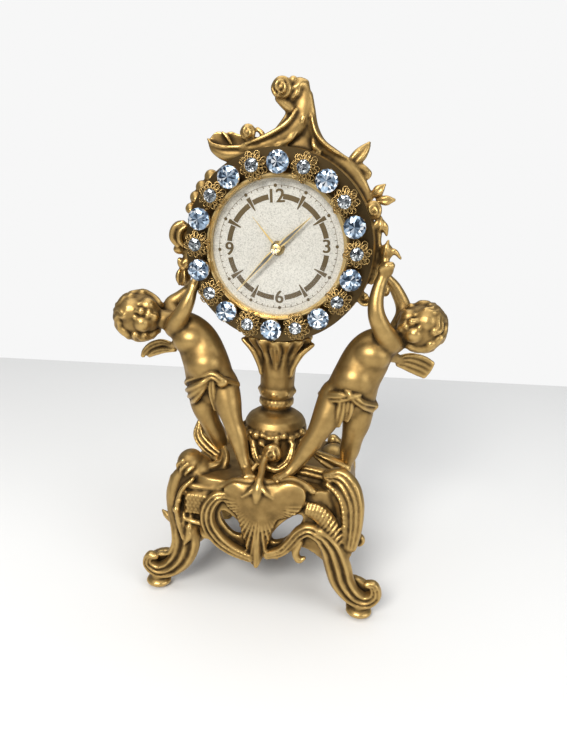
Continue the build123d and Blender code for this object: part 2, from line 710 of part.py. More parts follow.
# Balance wheel with its staff and impulse pin, and the hairspring on the staff
BALANCE_RIM_WIDTH = 0.9
IMPULSE_PIN_CIRCLE = 1.5
balance_front_y = train_front_y + 1.4
balance_back_y = balance_front_y + WHEEL_THICKNESS
hairspring_y = balance_back_y + 1.2
with BuildPart() as balance_wheel:
    arbor(balance_place)
    disc(balance_place, BALANCE_RADIUS, balance_front_y, balance_back_y)
    disc(balance_place, BALANCE_RADIUS - BALANCE_RIM_WIDTH, balance_front_y, balance_back_y, Mode.SUBTRACT)
    disc(balance_place, ARBOR_RADIUS, balance_front_y, balance_back_y)
    reach = BALANCE_RADIUS - BALANCE_RIM_WIDTH / 2
    bar(
        polar(reach, 0, balance_place), polar(reach, 180, balance_place), FORK_WIDTH * 0.6,
        balance_front_y, balance_back_y,
    )
    disc(balance_place, IMPULSE_PIN_CIRCLE + 0.4, pallet_back_y + 0.3, pallet_back_y + 0.9)
    pin = polar(IMPULSE_PIN_CIRCLE, 180 + BALANCE_ANGLE, balance_place)
    disc(pin, PALLET_PIN_RADIUS, pallet_front_y, pallet_back_y + 0.3)
keep(balance_wheel, "balance_wheel")

HAIRSPRING_RADIUS = 3.0
with BuildPart() as hairspring:
    spiral(
        balance_place, ARBOR_RADIUS + RUNNING, HAIRSPRING_RADIUS, 5, 0.12, hairspring_y, hairspring_y + 0.5
    )
keep(hairspring, "hairspring")


# Barrels: toothed cups with their caps, mainsprings, winding arbors, ratchets and keys
KEY_HUB_RADIUS = 2.4
KEY_FRONT_Y = 15.4
KEY_LENGTH = 7.0
KEY_WING_RADIUS = 3.4
KEY_THICKNESS = 1.6
barrel_back_y = barrel_front_y + BARREL_LENGTH
cap_y = barrel_back_y - BARREL_WALL
ratchet_front_y = ratchet_y + 0.4
ratchet_back_y = ratchet_front_y + 1.0


def barrel(centre, teeth, phase):
    """A spring barrel: a cup with teeth round its front edge, open at the back for its cap."""
    cup_radius = (teeth / 2 - 1.6) * MODULE_MAIN
    toothed(centre, teeth, MODULE_MAIN, phase, barrel_front_y, barrel_teeth_back_y)
    disc(centre, cup_radius, barrel_front_y, barrel_back_y)
    disc(centre, cup_radius - BARREL_WALL, barrel_front_y + BARREL_WALL, barrel_back_y, Mode.SUBTRACT)
    disc(centre, WINDING_RADIUS + RUNNING, barrel_front_y, barrel_back_y, Mode.SUBTRACT)


def barrel_cap(centre, teeth):
    """The disc that closes a barrel, held in its rim."""
    cup_radius = (teeth / 2 - 1.6) * MODULE_MAIN
    disc(centre, cup_radius - BARREL_WALL - SNUG, cap_y, barrel_back_y)
    disc(centre, WINDING_RADIUS + RUNNING, cap_y, barrel_back_y, Mode.SUBTRACT)


def mainspring(centre, teeth):
    """The coiled spring inside a barrel, its outer turn against the wall."""
    outer = (teeth / 2 - 1.6) * MODULE_MAIN - BARREL_WALL - SNUG
    front = barrel_front_y + BARREL_WALL + SEAT_GAP
    spiral(centre, WINDING_RADIUS + 0.3, outer, 6, SPRING_THICKNESS, front, cap_y - SEAT_GAP)


def winding_arbor(centre):
    """An arbor that passes through its barrel and both plates to its key."""
    disc(centre, WINDING_RADIUS, front_plate_y, KEY_FRONT_Y + KEY_LENGTH * 0.3)


def ratchet(centre):
    """The ratchet wheel on a winding arbor, behind the back plate."""
    pitch = 360.0 / RATCHET_TEETH
    corners = []
    for tooth in range(RATCHET_TEETH):
        corners.append(polar(RATCHET_RADIUS, pitch * tooth))
        corners.append(polar(RATCHET_RADIUS * 0.86, pitch * (tooth + 0.12)))
    with BuildSketch(seat(centre, ratchet_back_y)) as outline:
        with BuildLine():
            Polyline(*corners, close=True)
        make_face()
        Circle(WINDING_RADIUS + SNUG, mode=Mode.SUBTRACT)
    extrude(outline.sketch, amount=ratchet_back_y - ratchet_front_y)


def winding_key(centre):
    """A wing key: a hub on the arbor's end and two pierced wings."""
    end_y = KEY_FRONT_Y + KEY_LENGTH
    disc(centre, KEY_HUB_RADIUS, KEY_FRONT_Y, end_y)
    middle_y = (KEY_FRONT_Y + end_y) / 2
    wing_x = KEY_HUB_RADIUS + KEY_WING_RADIUS * 0.55
    for side in (-1, 1):
        place = (centre[0] + side * wing_x, middle_y, AXIS_Z + centre[1])
        with BuildSketch(Plane(origin=place, x_dir=(1, 0, 0), z_dir=(0, 0, 1))) as blade:
            Circle(KEY_WING_RADIUS)
            with Locations((side * KEY_WING_RADIUS * 0.15, 0)):
                Circle(KEY_WING_RADIUS * 0.42, mode=Mode.SUBTRACT)
        extrude(blade.sketch, amount=KEY_THICKNESS / 2, both=True)
    disc(centre, WINDING_RADIUS + SNUG, KEY_FRONT_Y, KEY_FRONT_Y + KEY_LENGTH * 0.3, Mode.SUBTRACT)


for name, place, teeth, phase in (
    ("going", going_place, BARREL_TEETH, going_phase),
    ("alarm", alarm_barrel_place, ALARM_BARREL_TEETH, 0.0),
):
    with BuildPart() as spring_barrel:
        barrel(place, teeth, phase)
    keep(spring_barrel, f"{name}_barrel")
    with BuildPart() as spring_cap:
        barrel_cap(place, teeth)
    keep(spring_cap, f"{name}_barrel_cap")
    with BuildPart() as coiled_spring:
        mainspring(place, teeth)
    keep(coiled_spring, f"{name}_mainspring")
    with BuildPart() as key_arbor:
        winding_arbor(place)
    keep(key_arbor, f"{name}_winding_arbor")
    with BuildPart() as ratchet_wheel:
        ratchet(place)
    keep(ratchet_wheel, f"{name}_ratchet")
    with BuildPart() as wing_key:
        winding_key(place)
    keep(wing_key, f"{name}_key")

# Clicks that hold the ratchets, each on a stud of its own behind the back plate
CLICK_LENGTH = 4.4
CLICK_WIDTH = 1.3
CLICK_STUD_RADIUS = 0.6
CLICK_ANGLES = {"going": 140.0, "alarm": 30.0}
for name, place in (("going", going_place), ("alarm", alarm_barrel_place)):
    tip = polar(RATCHET_RADIUS + CLICK_WIDTH / 2 + SEAT_GAP, CLICK_ANGLES[name], place)
    stud = polar(CLICK_LENGTH, CLICK_ANGLES[name] + 90, tip)
    with BuildPart() as click:
        bar(stud, tip, CLICK_WIDTH, ratchet_front_y, ratchet_back_y)
        disc(stud, CLICK_STUD_RADIUS, ratchet_y, ratchet_back_y)
    keep(click, f"{name}_click")

# Motion work under the dial: cannon pinion, minute wheel, hour wheel and the alarm wheel
cannon_radius = CENTRE_ARBOR_RADIUS + PIPE_WALL
hour_bore = cannon_radius + RUNNING
hour_pipe_radius = hour_bore + PIPE_WALL
alarm_bore = hour_pipe_radius + RUNNING
alarm_pipe_radius = alarm_bore + PIPE_WALL
alarm_wheel_front_y = dial_back_y + 0.3
alarm_wheel_back_y = alarm_wheel_front_y + WHEEL_THICKNESS
hour_wheel_front_y = alarm_wheel_back_y + 0.35
hour_wheel_back_y = hour_wheel_front_y + WHEEL_THICKNESS
cannon_front_y = hour_wheel_back_y + 0.2
cannon_back_y = front_plate_y - ENDSHAKE
minute_wheel_back_y = cannon_back_y - 0.3
minute_wheel_front_y = minute_wheel_back_y - WHEEL_THICKNESS

with BuildPart() as cannon_pinion:
    toothed(
        centre_place, CANNON_LEAVES, MODULE_MAIN, centre_phase, cannon_front_y, cannon_back_y, leaf=True
    )
    disc(centre_place, cannon_radius, minute_hand_y - HAND_THICKNESS, cannon_back_y)
    disc(
        centre_place, CENTRE_ARBOR_RADIUS + SNUG, minute_hand_y - HAND_THICKNESS - 1, cannon_back_y,
        Mode.SUBTRACT,
    )
keep(cannon_pinion, "cannon_pinion")

with BuildPart() as minute_wheel:
    toothed(
        minute_place, MINUTE_TEETH, MODULE_MAIN, minute_phase, minute_wheel_front_y, minute_wheel_back_y
    )
    toothed(
        minute_place, MINUTE_LEAVES, MODULE_HOUR, minute_phase, hour_wheel_front_y - 0.15,
        minute_wheel_front_y, leaf=True,
    )
    disc(minute_place, ARBOR_RADIUS + RUNNING, hour_wheel_front_y - 1, minute_wheel_back_y, Mode.SUBTRACT)
keep(minute_wheel, "minute_wheel")

with BuildPart() as hour_wheel:
    toothed(centre_place, HOUR_TEETH, MODULE_HOUR, hour_phase, hour_wheel_front_y, hour_wheel_back_y)
    disc(centre_place, hour_pipe_radius, hour_hand_y - HAND_THICKNESS, hour_wheel_back_y)
    disc(centre_place, hour_bore, hour_hand_y - HAND_THICKNESS - 1, hour_wheel_back_y, Mode.SUBTRACT)
keep(hour_wheel, "hour_wheel")

with BuildPart() as alarm_wheel:
    toothed(centre_place, ALARM_TEETH, MODULE_ALARM, alarm_phase, alarm_wheel_front_y, alarm_wheel_back_y)
    disc(centre_place, alarm_pipe_radius, alarm_hand_y - HAND_THICKNESS, alarm_wheel_back_y)
    disc(centre_place, alarm_bore, alarm_hand_y - HAND_THICKNESS - 1, alarm_wheel_back_y, Mode.SUBTRACT)
keep(alarm_wheel, "alarm_wheel")


# Hands: lance blades on collets, turned to the time shown
def hand(level_y, bore, length, angle, blade_width, blade_share, tail):
    """A lance hand: a collet, a swelling blade and a fine tip, laid at an angle from twelve."""
    collet = bore + 0.7
    blade_end = length * blade_share
    middle = (collet + blade_end) / 2
    turn = math.radians(90 - angle)
    outline = [(-tail, 0.0), (-tail * 0.6, collet * 0.45), (collet, 0.35), (middle, blade_width / 2)]
    outline += [(blade_end, 0.22), (length, 0.12)]
    below = [(along, -side) for along, side in reversed(outline) if side]
    along = (math.cos(turn), 0, math.sin(turn))
    with BuildSketch(Plane(origin=(0, level_y, AXIS_Z), x_dir=along, z_dir=(0, -1, 0))) as blade:
        with BuildLine():
            Polyline(*outline, *below, close=True)
        make_face()
        Circle(collet)
    extrude(blade.sketch, amount=HAND_THICKNESS)
    disc(centre_place, bore, level_y - HAND_THICKNESS, level_y, Mode.SUBTRACT)


with BuildPart() as minute_hand:
    hand(minute_hand_y, cannon_radius + SNUG, MINUTE_HAND_LENGTH, MINUTE_HAND_ANGLE, 2.0, 0.72, 3.4)
keep(minute_hand, "minute_hand")

with BuildPart() as hour_hand:
    hand(hour_hand_y, hour_pipe_radius + SNUG, HOUR_HAND_LENGTH, HOUR_HAND_ANGLE, 2.3, 0.72, 3.2)
keep(hour_hand, "hour_hand")

with BuildPart() as alarm_hand:
    hand(alarm_hand_y, alarm_pipe_radius + SNUG, ALARM_HAND_LENGTH, ALARM_HAND_ANGLE, 0.7, 0.6, 3.2)
keep(alarm_hand, "alarm_hand")

# Alarm setting arbor and the knobs on the back
KNOB_FRONT_GAP = 0.5
KNOB_THICKNESS = 3.6
SET_KNOB_RADIUS = 4.0
ALARM_KNOB_RADIUS = 3.4
KNOB_FLUTES = 16
KNOB_FLUTE_RADIUS = 0.3
knob_front_y = back_y + KNOB_FRONT_GAP
knob_back_y = knob_front_y + KNOB_THICKNESS
with BuildPart() as alarm_set_arbor:
    toothed(
        alarm_set_place, ALARM_SET_TEETH, MODULE_ALARM, alarm_set_phase,
        alarm_wheel_front_y - 0.1, alarm_wheel_back_y + 0.1, leaf=True,
    )
    disc(alarm_set_place, ALARM_ARBOR_RADIUS, alarm_wheel_front_y, KNOB_ARBOR_END_Y)
    disc(alarm_set_place, ALARM_ARBOR_RADIUS * 1.6, train_front_y + ENDSHAKE, train_front_y + 1.0)
keep(alarm_set_arbor, "alarm_set_arbor")


def knob(centre, radius, bore):
    """A fluted knob on an arbor's end."""
    with BuildSketch(seat(centre, knob_back_y)) as outline:
        Circle(radius)
        with PolarLocations(radius, KNOB_FLUTES):
            Circle(KNOB_FLUTE_RADIUS, mode=Mode.SUBTRACT)
    extrude(outline.sketch, amount=KNOB_THICKNESS)
    disc(centre, bore + SNUG, knob_front_y, KNOB_ARBOR_END_Y, Mode.SUBTRACT)


with BuildPart() as hand_set_knob:
    knob(centre_place, SET_KNOB_RADIUS, CENTRE_ARBOR_RADIUS)
keep(hand_set_knob, "hand_set_knob")

with BuildPart() as alarm_set_knob:
    knob(alarm_set_place, ALARM_KNOB_RADIUS, ALARM_ARBOR_RADIUS)
keep(alarm_set_knob, "alarm_set_knob")

# Alarm work: the alarm's escape wheel, the hammer, and the stop button on the back
alarm_escape_front_y = barrel_back_y + 0.4
alarm_escape_back_y = alarm_escape_front_y + WHEEL_THICKNESS
with BuildPart() as alarm_escape_wheel:
    arbor(alarm_escape_place)
    toothed(
        alarm_escape_place, TRAIN_LEAVES, MODULE_MAIN, alarm_escape_phase,
        barrel_front_y - 0.2, barrel_teeth_back_y + 0.2, leaf=True,
    )
    club_wheel(alarm_escape_place, ALARM_ESCAPE_RADIUS, 0.0, alarm_escape_front_y, alarm_escape_back_y)
keep(alarm_escape_wheel, "alarm_escape_wheel")

HAMMER_HEAD_RADIUS = 1.7
HAMMER_GAP = 0.4
HAMMER_ARM_WIDTH = 1.2
HAMMER_PIN_GAP = 0.5
hammer_head = polar(drum_inner_radius - HAMMER_HEAD_RADIUS - HAMMER_GAP, HAMMER_HEAD_ANGLE)
hammer_pin_angle = math.degrees(
    math.atan2(HAMMER_PLACE[1] - alarm_escape_place[1], HAMMER_PLACE[0] - alarm_escape_place[0])
)
hammer_pin = polar(
    ALARM_ESCAPE_RADIUS + PALLET_PIN_RADIUS + HAMMER_PIN_GAP, hammer_pin_angle, alarm_escape_place
)
hammer_front_y = alarm_escape_back_y + 0.3
hammer_back_y = hammer_front_y + WHEEL_THICKNESS
with BuildPart() as alarm_hammer:
    arbor(HAMMER_PLACE)
    bar(HAMMER_PLACE, hammer_head, HAMMER_ARM_WIDTH, hammer_front_y, hammer_back_y)
    bar(HAMMER_PLACE, hammer_pin, HAMMER_ARM_WIDTH, hammer_front_y, hammer_back_y)
    disc(hammer_pin, PALLET_PIN_RADIUS, alarm_escape_front_y - 0.2, hammer_back_y)
    disc(hammer_head, HAMMER_HEAD_RADIUS, hammer_front_y - 1.0, hammer_back_y)
keep(alarm_hammer, "alarm_hammer")

STOP_HEAD_RADIUS = 2.4
STOP_TRAVEL = 2.0
STOP_HEAD_THICKNESS = 1.6
with BuildPart() as alarm_stop_button:
    stop_head_y = back_y + STOP_TRAVEL + KNOB_FRONT_GAP
    disc(STOP_BUTTON_PLACE, STOP_ROD_RADIUS, train_back_y - STOP_TRAVEL * 0.4, stop_head_y)
    disc(STOP_BUTTON_PLACE, STOP_HEAD_RADIUS, stop_head_y, stop_head_y + STOP_HEAD_THICKNESS)
keep(alarm_stop_button, "alarm_stop_button")

# Regulator: a collar on the back plate's sleeve with a tail that comes out through the back cover
REGULATOR_COLLAR_RADIUS = 2.6
REGULATOR_REACH = 6.0
REGULATOR_WIDTH = 1.2
REGULATOR_SWING = 20.0
REGULATOR_TAB = 0.8
regulator_angle = math.degrees(math.atan2(balance_place[1], balance_place[0])) + 60
regulator_tip = polar(REGULATOR_REACH, regulator_angle, balance_place)
with BuildPart() as regulator:
    regulator_front_y = ratchet_y + SEAT_GAP
    regulator_back_y = regulator_front_y + WHEEL_THICKNESS
    bar(balance_place, regulator_tip, REGULATOR_WIDTH, regulator_front_y, regulator_back_y)
    disc(balance_place, REGULATOR_COLLAR_RADIUS, regulator_front_y, regulator_back_y)
    disc(
        balance_place, REGULATOR_SLEEVE_RADIUS + RUNNING, regulator_front_y, regulator_back_y, Mode.SUBTRACT
    )
    disc(regulator_tip, REGULATOR_WIDTH / 2, regulator_front_y, back_y + REGULATOR_TAB)
keep(regulator, "regulator")

# Back cover with clear holes for the keys, knobs, button and regulator, and its screws
COVER_CLEARANCE = 0.4
COVER_SCREW_HEAD = 1.5
COVER_SCREW_HEAD_HEIGHT = 0.8
with BuildPart() as back_cover:
    disc(centre_place, drum_inner_radius - RUNNING, cover_y, back_y)
    for place in winding_places:
        disc(place, WINDING_RADIUS + COVER_CLEARANCE, cover_y, back_y, Mode.SUBTRACT)
    disc(centre_place, CENTRE_ARBOR_RADIUS + COVER_CLEARANCE, cover_y, back_y, Mode.SUBTRACT)
    disc(alarm_set_place, ALARM_ARBOR_RADIUS + COVER_CLEARANCE, cover_y, back_y, Mode.SUBTRACT)
    disc(STOP_BUTTON_PLACE, STOP_ROD_RADIUS + RUNNING, cover_y, back_y, Mode.SUBTRACT)
    for place in cover_post_places:
        disc(place, SCREW_RADIUS + RUNNING, cover_y, back_y, Mode.SUBTRACT)
    slot_swing = REGULATOR_SWING + math.degrees((REGULATOR_WIDTH / 2 + COVER_CLEARANCE) / REGULATOR_REACH)
    with BuildSketch(seat(balance_place, back_y)):
        with BuildLine():
            CenterArc((0, 0), REGULATOR_REACH, regulator_angle - slot_swing, 2 * slot_swing)
        trace(line_width=REGULATOR_WIDTH + 2 * COVER_CLEARANCE)
    extrude(amount=COVER_THICKNESS, mode=Mode.SUBTRACT)
keep(back_cover, "back_cover")

with BuildPart() as cover_screws:
    for place in cover_post_places:
        disc(place, SCREW_RADIUS, cover_y - RATCHET_SPACE * 0.6, back_y)
        disc(place, COVER_SCREW_HEAD, back_y, back_y + COVER_SCREW_HEAD_HEIGHT)
        with BuildSketch(seat(place, back_y + COVER_SCREW_HEAD_HEIGHT)):
            Rectangle(COVER_SCREW_HEAD * 3, COVER_SCREW_HEAD * 0.3)
        extrude(amount=COVER_SCREW_HEAD_HEIGHT * 0.5, mode=Mode.SUBTRACT)
keep(cover_screws, "cover_screws")

# Retaining ring: clamps the drum in the surround from behind
with BuildPart() as retaining_ring:
    disc(centre_place, RETAINER_RADIUS, SURROUND_BACK_Y, SURROUND_BACK_Y + RETAINER_THICKNESS)
    disc(
        centre_place, DRUM_RADIUS + SNUG, SURROUND_BACK_Y, SURROUND_BACK_Y + RETAINER_THICKNESS,
        Mode.SUBTRACT,
    )
keep(retaining_ring, "retaining_ring")

# Surround: the cast ring that carries the drum, with a scroll crest, leaves and roses round it
LUG_WIDTH = 9.0
LUG_DEPTH = 8.0
LUG_DROP = 3.0
CREST_Y = -2.0
surround_bore = DRUM_RADIUS + RUNNING
ring_top_z = AXIS_Z + SURROUND_RADIUS
lug_bottom_z = AXIS_Z - SURROUND_RADIUS - LUG_DROP


def beside(angle, out, y):
    """Point just outside the surround ring at an angle, standing out by a distance."""
    x, z = polar(SURROUND_RADIUS + out, angle)
    return (x, y, AXIS_Z + z)


with BuildPart() as dial_surround:
    with BuildSketch(Plane.XY.offset(AXIS_Z)):
        with BuildLine():
            bore_line = Line((surround_bore, SURROUND_FRONT_Y), (surround_bore, SURROUND_BACK_Y))
            back_line = Line(bore_line @ 1, (SURROUND_RADIUS - SURROUND_BULGE, SURROUND_BACK_Y))
            bulge = ThreePointArc(
                back_line @ 1,
                (SURROUND_RADIUS, (SURROUND_FRONT_Y + SURROUND_BACK_Y) / 2),
                (SURROUND_RADIUS - SURROUND_BULGE, SURROUND_FRONT_Y),
            )
            Line(bulge @ 1, bore_line @ 0)
        make_face()
    revolve(axis=axis_y)
    lug_height = LUG_DROP + SURROUND_RADIUS - surround_bore - SEAT_GAP
    with Locations((0, 0, lug_bottom_z)):
        Box(LUG_WIDTH, LUG_DEPTH, lug_height, align=(Align.CENTER, Align.CENTER, Align.MIN))
        Cylinder(ROD_RADIUS + SNUG, ROD_REACH * 2, mode=Mode.SUBTRACT)
    # The S-scroll of the crest, from the tip of the left leaf up to the finial, and its right branch
    limb(
        ((-20.0, CREST_Y - 2, ring_top_z - 2.6), (-9.0, CREST_Y - 3, ring_top_z - 2.4),
         (0.0, CREST_Y - 3, ring_top_z + 3.0), (4.2, CREST_Y - 1, ring_top_z + 11.5),
         (3.6, CREST_Y - 1, ring_top_z + 18.4)),
        (1.8, 3.0, 3.3, 2.9, 2.4),
    )
    limb(
        ((4.6, CREST_Y, ring_top_z + 9.0), (9.0, CREST_Y, ring_top_z + 2.5),
         (17.0, CREST_Y, ring_top_z - 3.4), (24.0, CREST_Y, ring_top_z - 6.0)),
        (2.2, 2.6, 2.6, 1.8),
    )
    rose((-0.4, CREST_Y - 2.0, ring_top_z + 16.2), (-0.3, -1, 0.1), 3.4)
    rose((2.8, CREST_Y - 2.0, ring_top_z + 19.0), (0, -1, 0.3), 1.8)
    # The large leaf to the left and the rose that lies in it
    leaf((-7.0, CREST_Y, ring_top_z - 2.6), (-27.5, CREST_Y - 1, ring_top_z + 1.2), 9.0, 4.0)
    rose((-13.2, CREST_Y, ring_top_z + 2.4), (-0.2, -1, 0.3), 3.8)
    # Leaves and roses down the right side
    leaf(beside(58, -2.0, CREST_Y), beside(54, 10.0, CREST_Y + 3), 5.6, 2.8)
    leaf(beside(44, -2.0, CREST_Y), beside(40, 5.5, CREST_Y + 2), 5.2, 2.8)
    leaf(beside(33, -2.0, CREST_Y), beside(32, 7.0, CREST_Y - 2), 5.0, 2.6)
    leaf(beside(25, -2.0, CREST_Y), beside(24, 6.4, CREST_Y), 4.6, 2.6)
    rose(beside(24, 1.2, CREST_Y - 3), (0.5, -1, 0.2), 3.4)
    leaf(beside(16, -2.0, CREST_Y), beside(10, 4.4, CREST_Y - 3), 5.6, 2.6)
    rose(beside(2, 1.0, CREST_Y), (0.7, -1, 0), 3.2)
    # Flowers and a curl on the left side
    rose(beside(178, 1.6, CREST_Y), (-0.6, -1, 0), 4.6)
    rose(beside(196, 1.0, CREST_Y), (-0.6, -1, 0), 3.0)
    leaf(beside(152, -2.0, CREST_Y), beside(160, 4.0, CREST_Y), 5.0, 2.6)
    disc(centre_place, surround_bore, SURROUND_FRONT_Y - 9, SURROUND_BACK_Y + 9, Mode.SUBTRACT)
    bezel_room = BEZEL_RADIUS + 2 * SEAT_GAP
    disc(centre_place, bezel_room, SURROUND_FRONT_Y - 12, SURROUND_FRONT_Y, Mode.SUBTRACT)
keep(dial_surround, "dial_surround")

# Pedestal stem: a domed foot, a beaded neck and a flared bracket that cradles the surround
flare_clearance_radius = SURROUND_RADIUS + SEAT_GAP
with BuildPart() as pedestal_stem:
    with BuildSketch(Plane.XZ):
        with BuildLine():
            axis_line = Line((0, SHAFT_Z), (0, DECK_Z))
            flange = Polyline(
                axis_line @ 1, (STEM_FLANGE_RADIUS, DECK_Z), (STEM_FLANGE_RADIUS, DECK_Z + STEM_FLANGE_HEIGHT),
                (DOME_RADIUS, DECK_Z + STEM_FLANGE_HEIGHT), (DOME_RADIUS, DOME_TOP_Z - DOME_RADIUS / 2),
            )
            dome = ThreePointArc(
                flange @ 1,
                (DOME_RADIUS * 0.82, DOME_TOP_Z - DOME_RADIUS * 0.15),
                (NECK_RADIUS, DOME_TOP_Z),
            )
            ball = ThreePointArc(
                dome @ 1, (BALL_RADIUS, BALL_Z), (NECK_RADIUS, 2 * BALL_Z - DOME_TOP_Z)
            )
            collar = ThreePointArc(
                ball @ 1, (COLLAR_RADIUS, COLLAR_Z + 0.6), (SHAFT_RADIUS, SHAFT_Z)
            )
            Line(collar @ 1, axis_line @ 0)
        make_face()
    revolve(axis=Axis.Z)
    for z, width, depth in (
        (SHAFT_Z - 0.4, SHAFT_RADIUS * 2, SHAFT_RADIUS * 2),
        (FLARE_MID_Z, FLARE_MID_WIDTH, FLARE_DEPTH),
        (FLARE_TOP_Z, FLARE_TOP_WIDTH, FLARE_DEPTH + 1.0),
    ):
        with BuildSketch(Plane.XY.offset(z)):
            Ellipse(width / 2, depth / 2)
    loft()
    disc(centre_place, flare_clearance_radius, -FLARE_DEPTH * 2, FLARE_DEPTH * 2, Mode.SUBTRACT)
    with Locations((0, 0, lug_bottom_z - SEAT_GAP)):
        Box(
            LUG_WIDTH + 2 * SEAT_GAP, LUG_DEPTH + 2 * SEAT_GAP, FLARE_TOP_Z,
            align=(Align.CENTER, Align.CENTER, Align.MIN), mode=Mode.SUBTRACT,
        )
    with Locations((0, 0, DECK_Z)):
        Cylinder(
            ROD_RADIUS + RUNNING, FLARE_TOP_Z, align=(Align.CENTER, Align.CENTER, Align.MIN),
            mode=Mode.SUBTRACT,
        )
keep(pedestal_stem, "pedestal_stem")

# Tie rod from under the deck through the stem into the surround's lug, with its nut
deck_underside_z = DECK_Z - DECK_THICKNESS
rod_bottom_z = deck_underside_z - NUT_HEIGHT - 1.5
with BuildPart() as tie_rod:
    with Locations((0, 0, rod_bottom_z)):
        Cylinder(
            ROD_RADIUS, lug_bottom_z + ROD_REACH - SEAT_GAP - rod_bottom_z,
            align=(Align.CENTER, Align.CENTER, Align.MIN),
        )
keep(tie_rod, "tie_rod")

with BuildPart() as tie_rod_nut:
    with BuildSketch(Plane.XY.offset(deck_underside_z - NUT_HEIGHT)):
        RegularPolygon(NUT_WIDTH / 2, 6, major_radius=False)
        Circle(ROD_RADIUS + SNUG, mode=Mode.SUBTRACT)
    extrude(amount=NUT_HEIGHT)
keep(tie_rod_nut, "tie_rod_nut")

# Figures: each child is a chain of joint places, from the feet on the deck to the raised hands
FOOT_SCREW_RADIUS = 1.0
FOOT_SCREW_REACH = 4.0
FOOT_SCREW_HEAD_RADIUS = 1.9
FOOT_SCREW_HEAD_HEIGHT = 1.3
left_child = {
    "spine": ((-20.5, -7.0, 74.0), (-24.5, -8.0, 82.0), (-29.5, -7.8, 90.5), (-35.0, -7.0, 96.0)),
    "head": (-51.0, -6.0, 96.6),
    "front_arm": ((-33.6, -11.0, 96.0), (-31.6, -15.0, 101.4), (-31.8, -13.6, 107.2), (-30.8, -13.2, 110.6)),
    "rear_arm": ((-35.6, -2.5, 98.0), (-38.4, 2.0, 102.6), (-35.4, 1.6, 106.6), (-31.3, 1.2, 108.3)),
    "inner_leg": ((-16.6, -9.0, 74.0), (-10.4, -14.2, 61.6), (-7.0, -17.6, 49.0), (-5.0, -20.4, 46.0)),
    "outer_leg": ((-23.0, -5.0, 73.0), (-22.8, -7.2, 60.6), (-20.6, -3.2, 49.0), (-21.4, -6.8, 46.0)),
    "wing": ((-38.3, 0.3, 90.3), (-55.5, 4.0, 78.5)),
    "knot": (-25.5, -11.8, 75.5),
    "drape": (-24.0, -10.0, 66.5),
    "face": (0.25, -0.9, 0.1),
    "turned_seams": False,
}
right_child = {
    "spine": ((27.0, -7.0, 74.5), (29.2, -8.2, 82.5), (34.2, -7.6, 90.5), (39.6, -6.8, 96.4)),
    "head": (50.6, -5.2, 100.6),
    "front_arm": ((38.4, -10.6, 96.0), (35.6, -14.0, 105.6), (35.6, -11.2, 114.4), (36.3, -9.8, 118.4)),
    "rear_arm": ((40.8, -2.6, 97.6), (43.6, 3.0, 105.0), (39.8, 2.2, 112.4), (36.0, 1.4, 116.0)),
    "inner_leg": ((23.0, -9.0, 73.8), (17.0, -14.4, 60.8), (7.6, -18.0, 49.0), (5.0, -20.4, 46.0)),
    "outer_leg": ((28.8, -4.6, 73.0), (29.0, -6.4, 59.8), (27.6, -3.2, 49.0), (26.8, -6.8, 46.0)),
    "wing": ((42.6, 0.0, 91.0), (56.6, 4.0, 83.0)),
    "knot": (29.5, -13.2, 77.0),
    "drape": (27.5, -11.0, 67.0),
    "face": (0.45, -0.75, 0.35),
    "turned_seams": True,
}
SPINE_RADII = (7.2, 7.8, 7.2, 4.2)
NECK_END_RADIUS = 3.6
CLOTH_RADII = (5.4, 5.2)
WING_ROOT_RADII = (3.0, 1.8)
ARM_RADII = (3.7, 3.0, 2.3, 2.3)
LEG_RADII = (5.3, 3.7, 2.5, 2.2)
HEAD_RADIUS = 8.4
CURL_RADIUS = 2.6
CURL_COUNT = 6
CURL_SWEEP = 200.0
CURL_SEAT = 0.86
NOSE_RADIUS = 1.3
KNOT_RADIUS = 2.2
DRAPE_WIDTH = 5.0
DRAPE_THICKNESS = 2.6
SOLE_RADIUS = 2.7
TAPER_START = 0.97
TAPER_END = 0.95
FEATHER_STEP = 0.4
SEAM_TILT = 35
SEAM_TILT_STEP = 11
SEAM_SWING = 20
SEAM_SWING_STEP = 25
WING_THICKNESS = 1.6
FEATHERS = 4


def skull(centre, face, top, turned):
    """Loose pieces of a round head: the ball, a nose and a row of curls over the crown."""
    ahead = Vector(*face).normalized()
    up = (Vector(*top) - ahead * ahead.dot(Vector(*top))).normalized()
    across = ahead.cross(up)
    middle = Vector(*centre)
    pieces = [
        bead(middle, HEAD_RADIUS, seam_turn(2, turned)),
        bead(middle + ahead * HEAD_RADIUS, NOSE_RADIUS, seam_turn(3, turned)),
    ]
    for index in range(CURL_COUNT):
        turn = math.radians(CURL_SWEEP * (index / (CURL_COUNT - 1) - 0.5))
        curl = (up * math.cos(turn) + across * math.sin(turn)) * CURL_SEAT
        pieces.append(bead(middle + curl * HEAD_RADIUS, CURL_RADIUS, seam_turn(index, turned)))
    return pieces


def wing(root, tip):
    """Loose pieces of a small spread wing: feathers that fan from its root."""
    start, end = Vector(*root), Vector(*tip)
    run = end - start
    pieces = []
    for index in range(FEATHERS):
        share = index / (FEATHERS - 1)
        swing = Vector(run.X, run.Y + index * FEATHER_STEP, run.Z + (share - 0.3) * run.length * 0.55)
        quill = start + swing * (1.0 - 0.22 * share)
        pieces.append(leaf(start - run * 0.05, quill, run.length * 0.3, WING_THICKNESS, mode=Mode.PRIVATE))
    return pieces


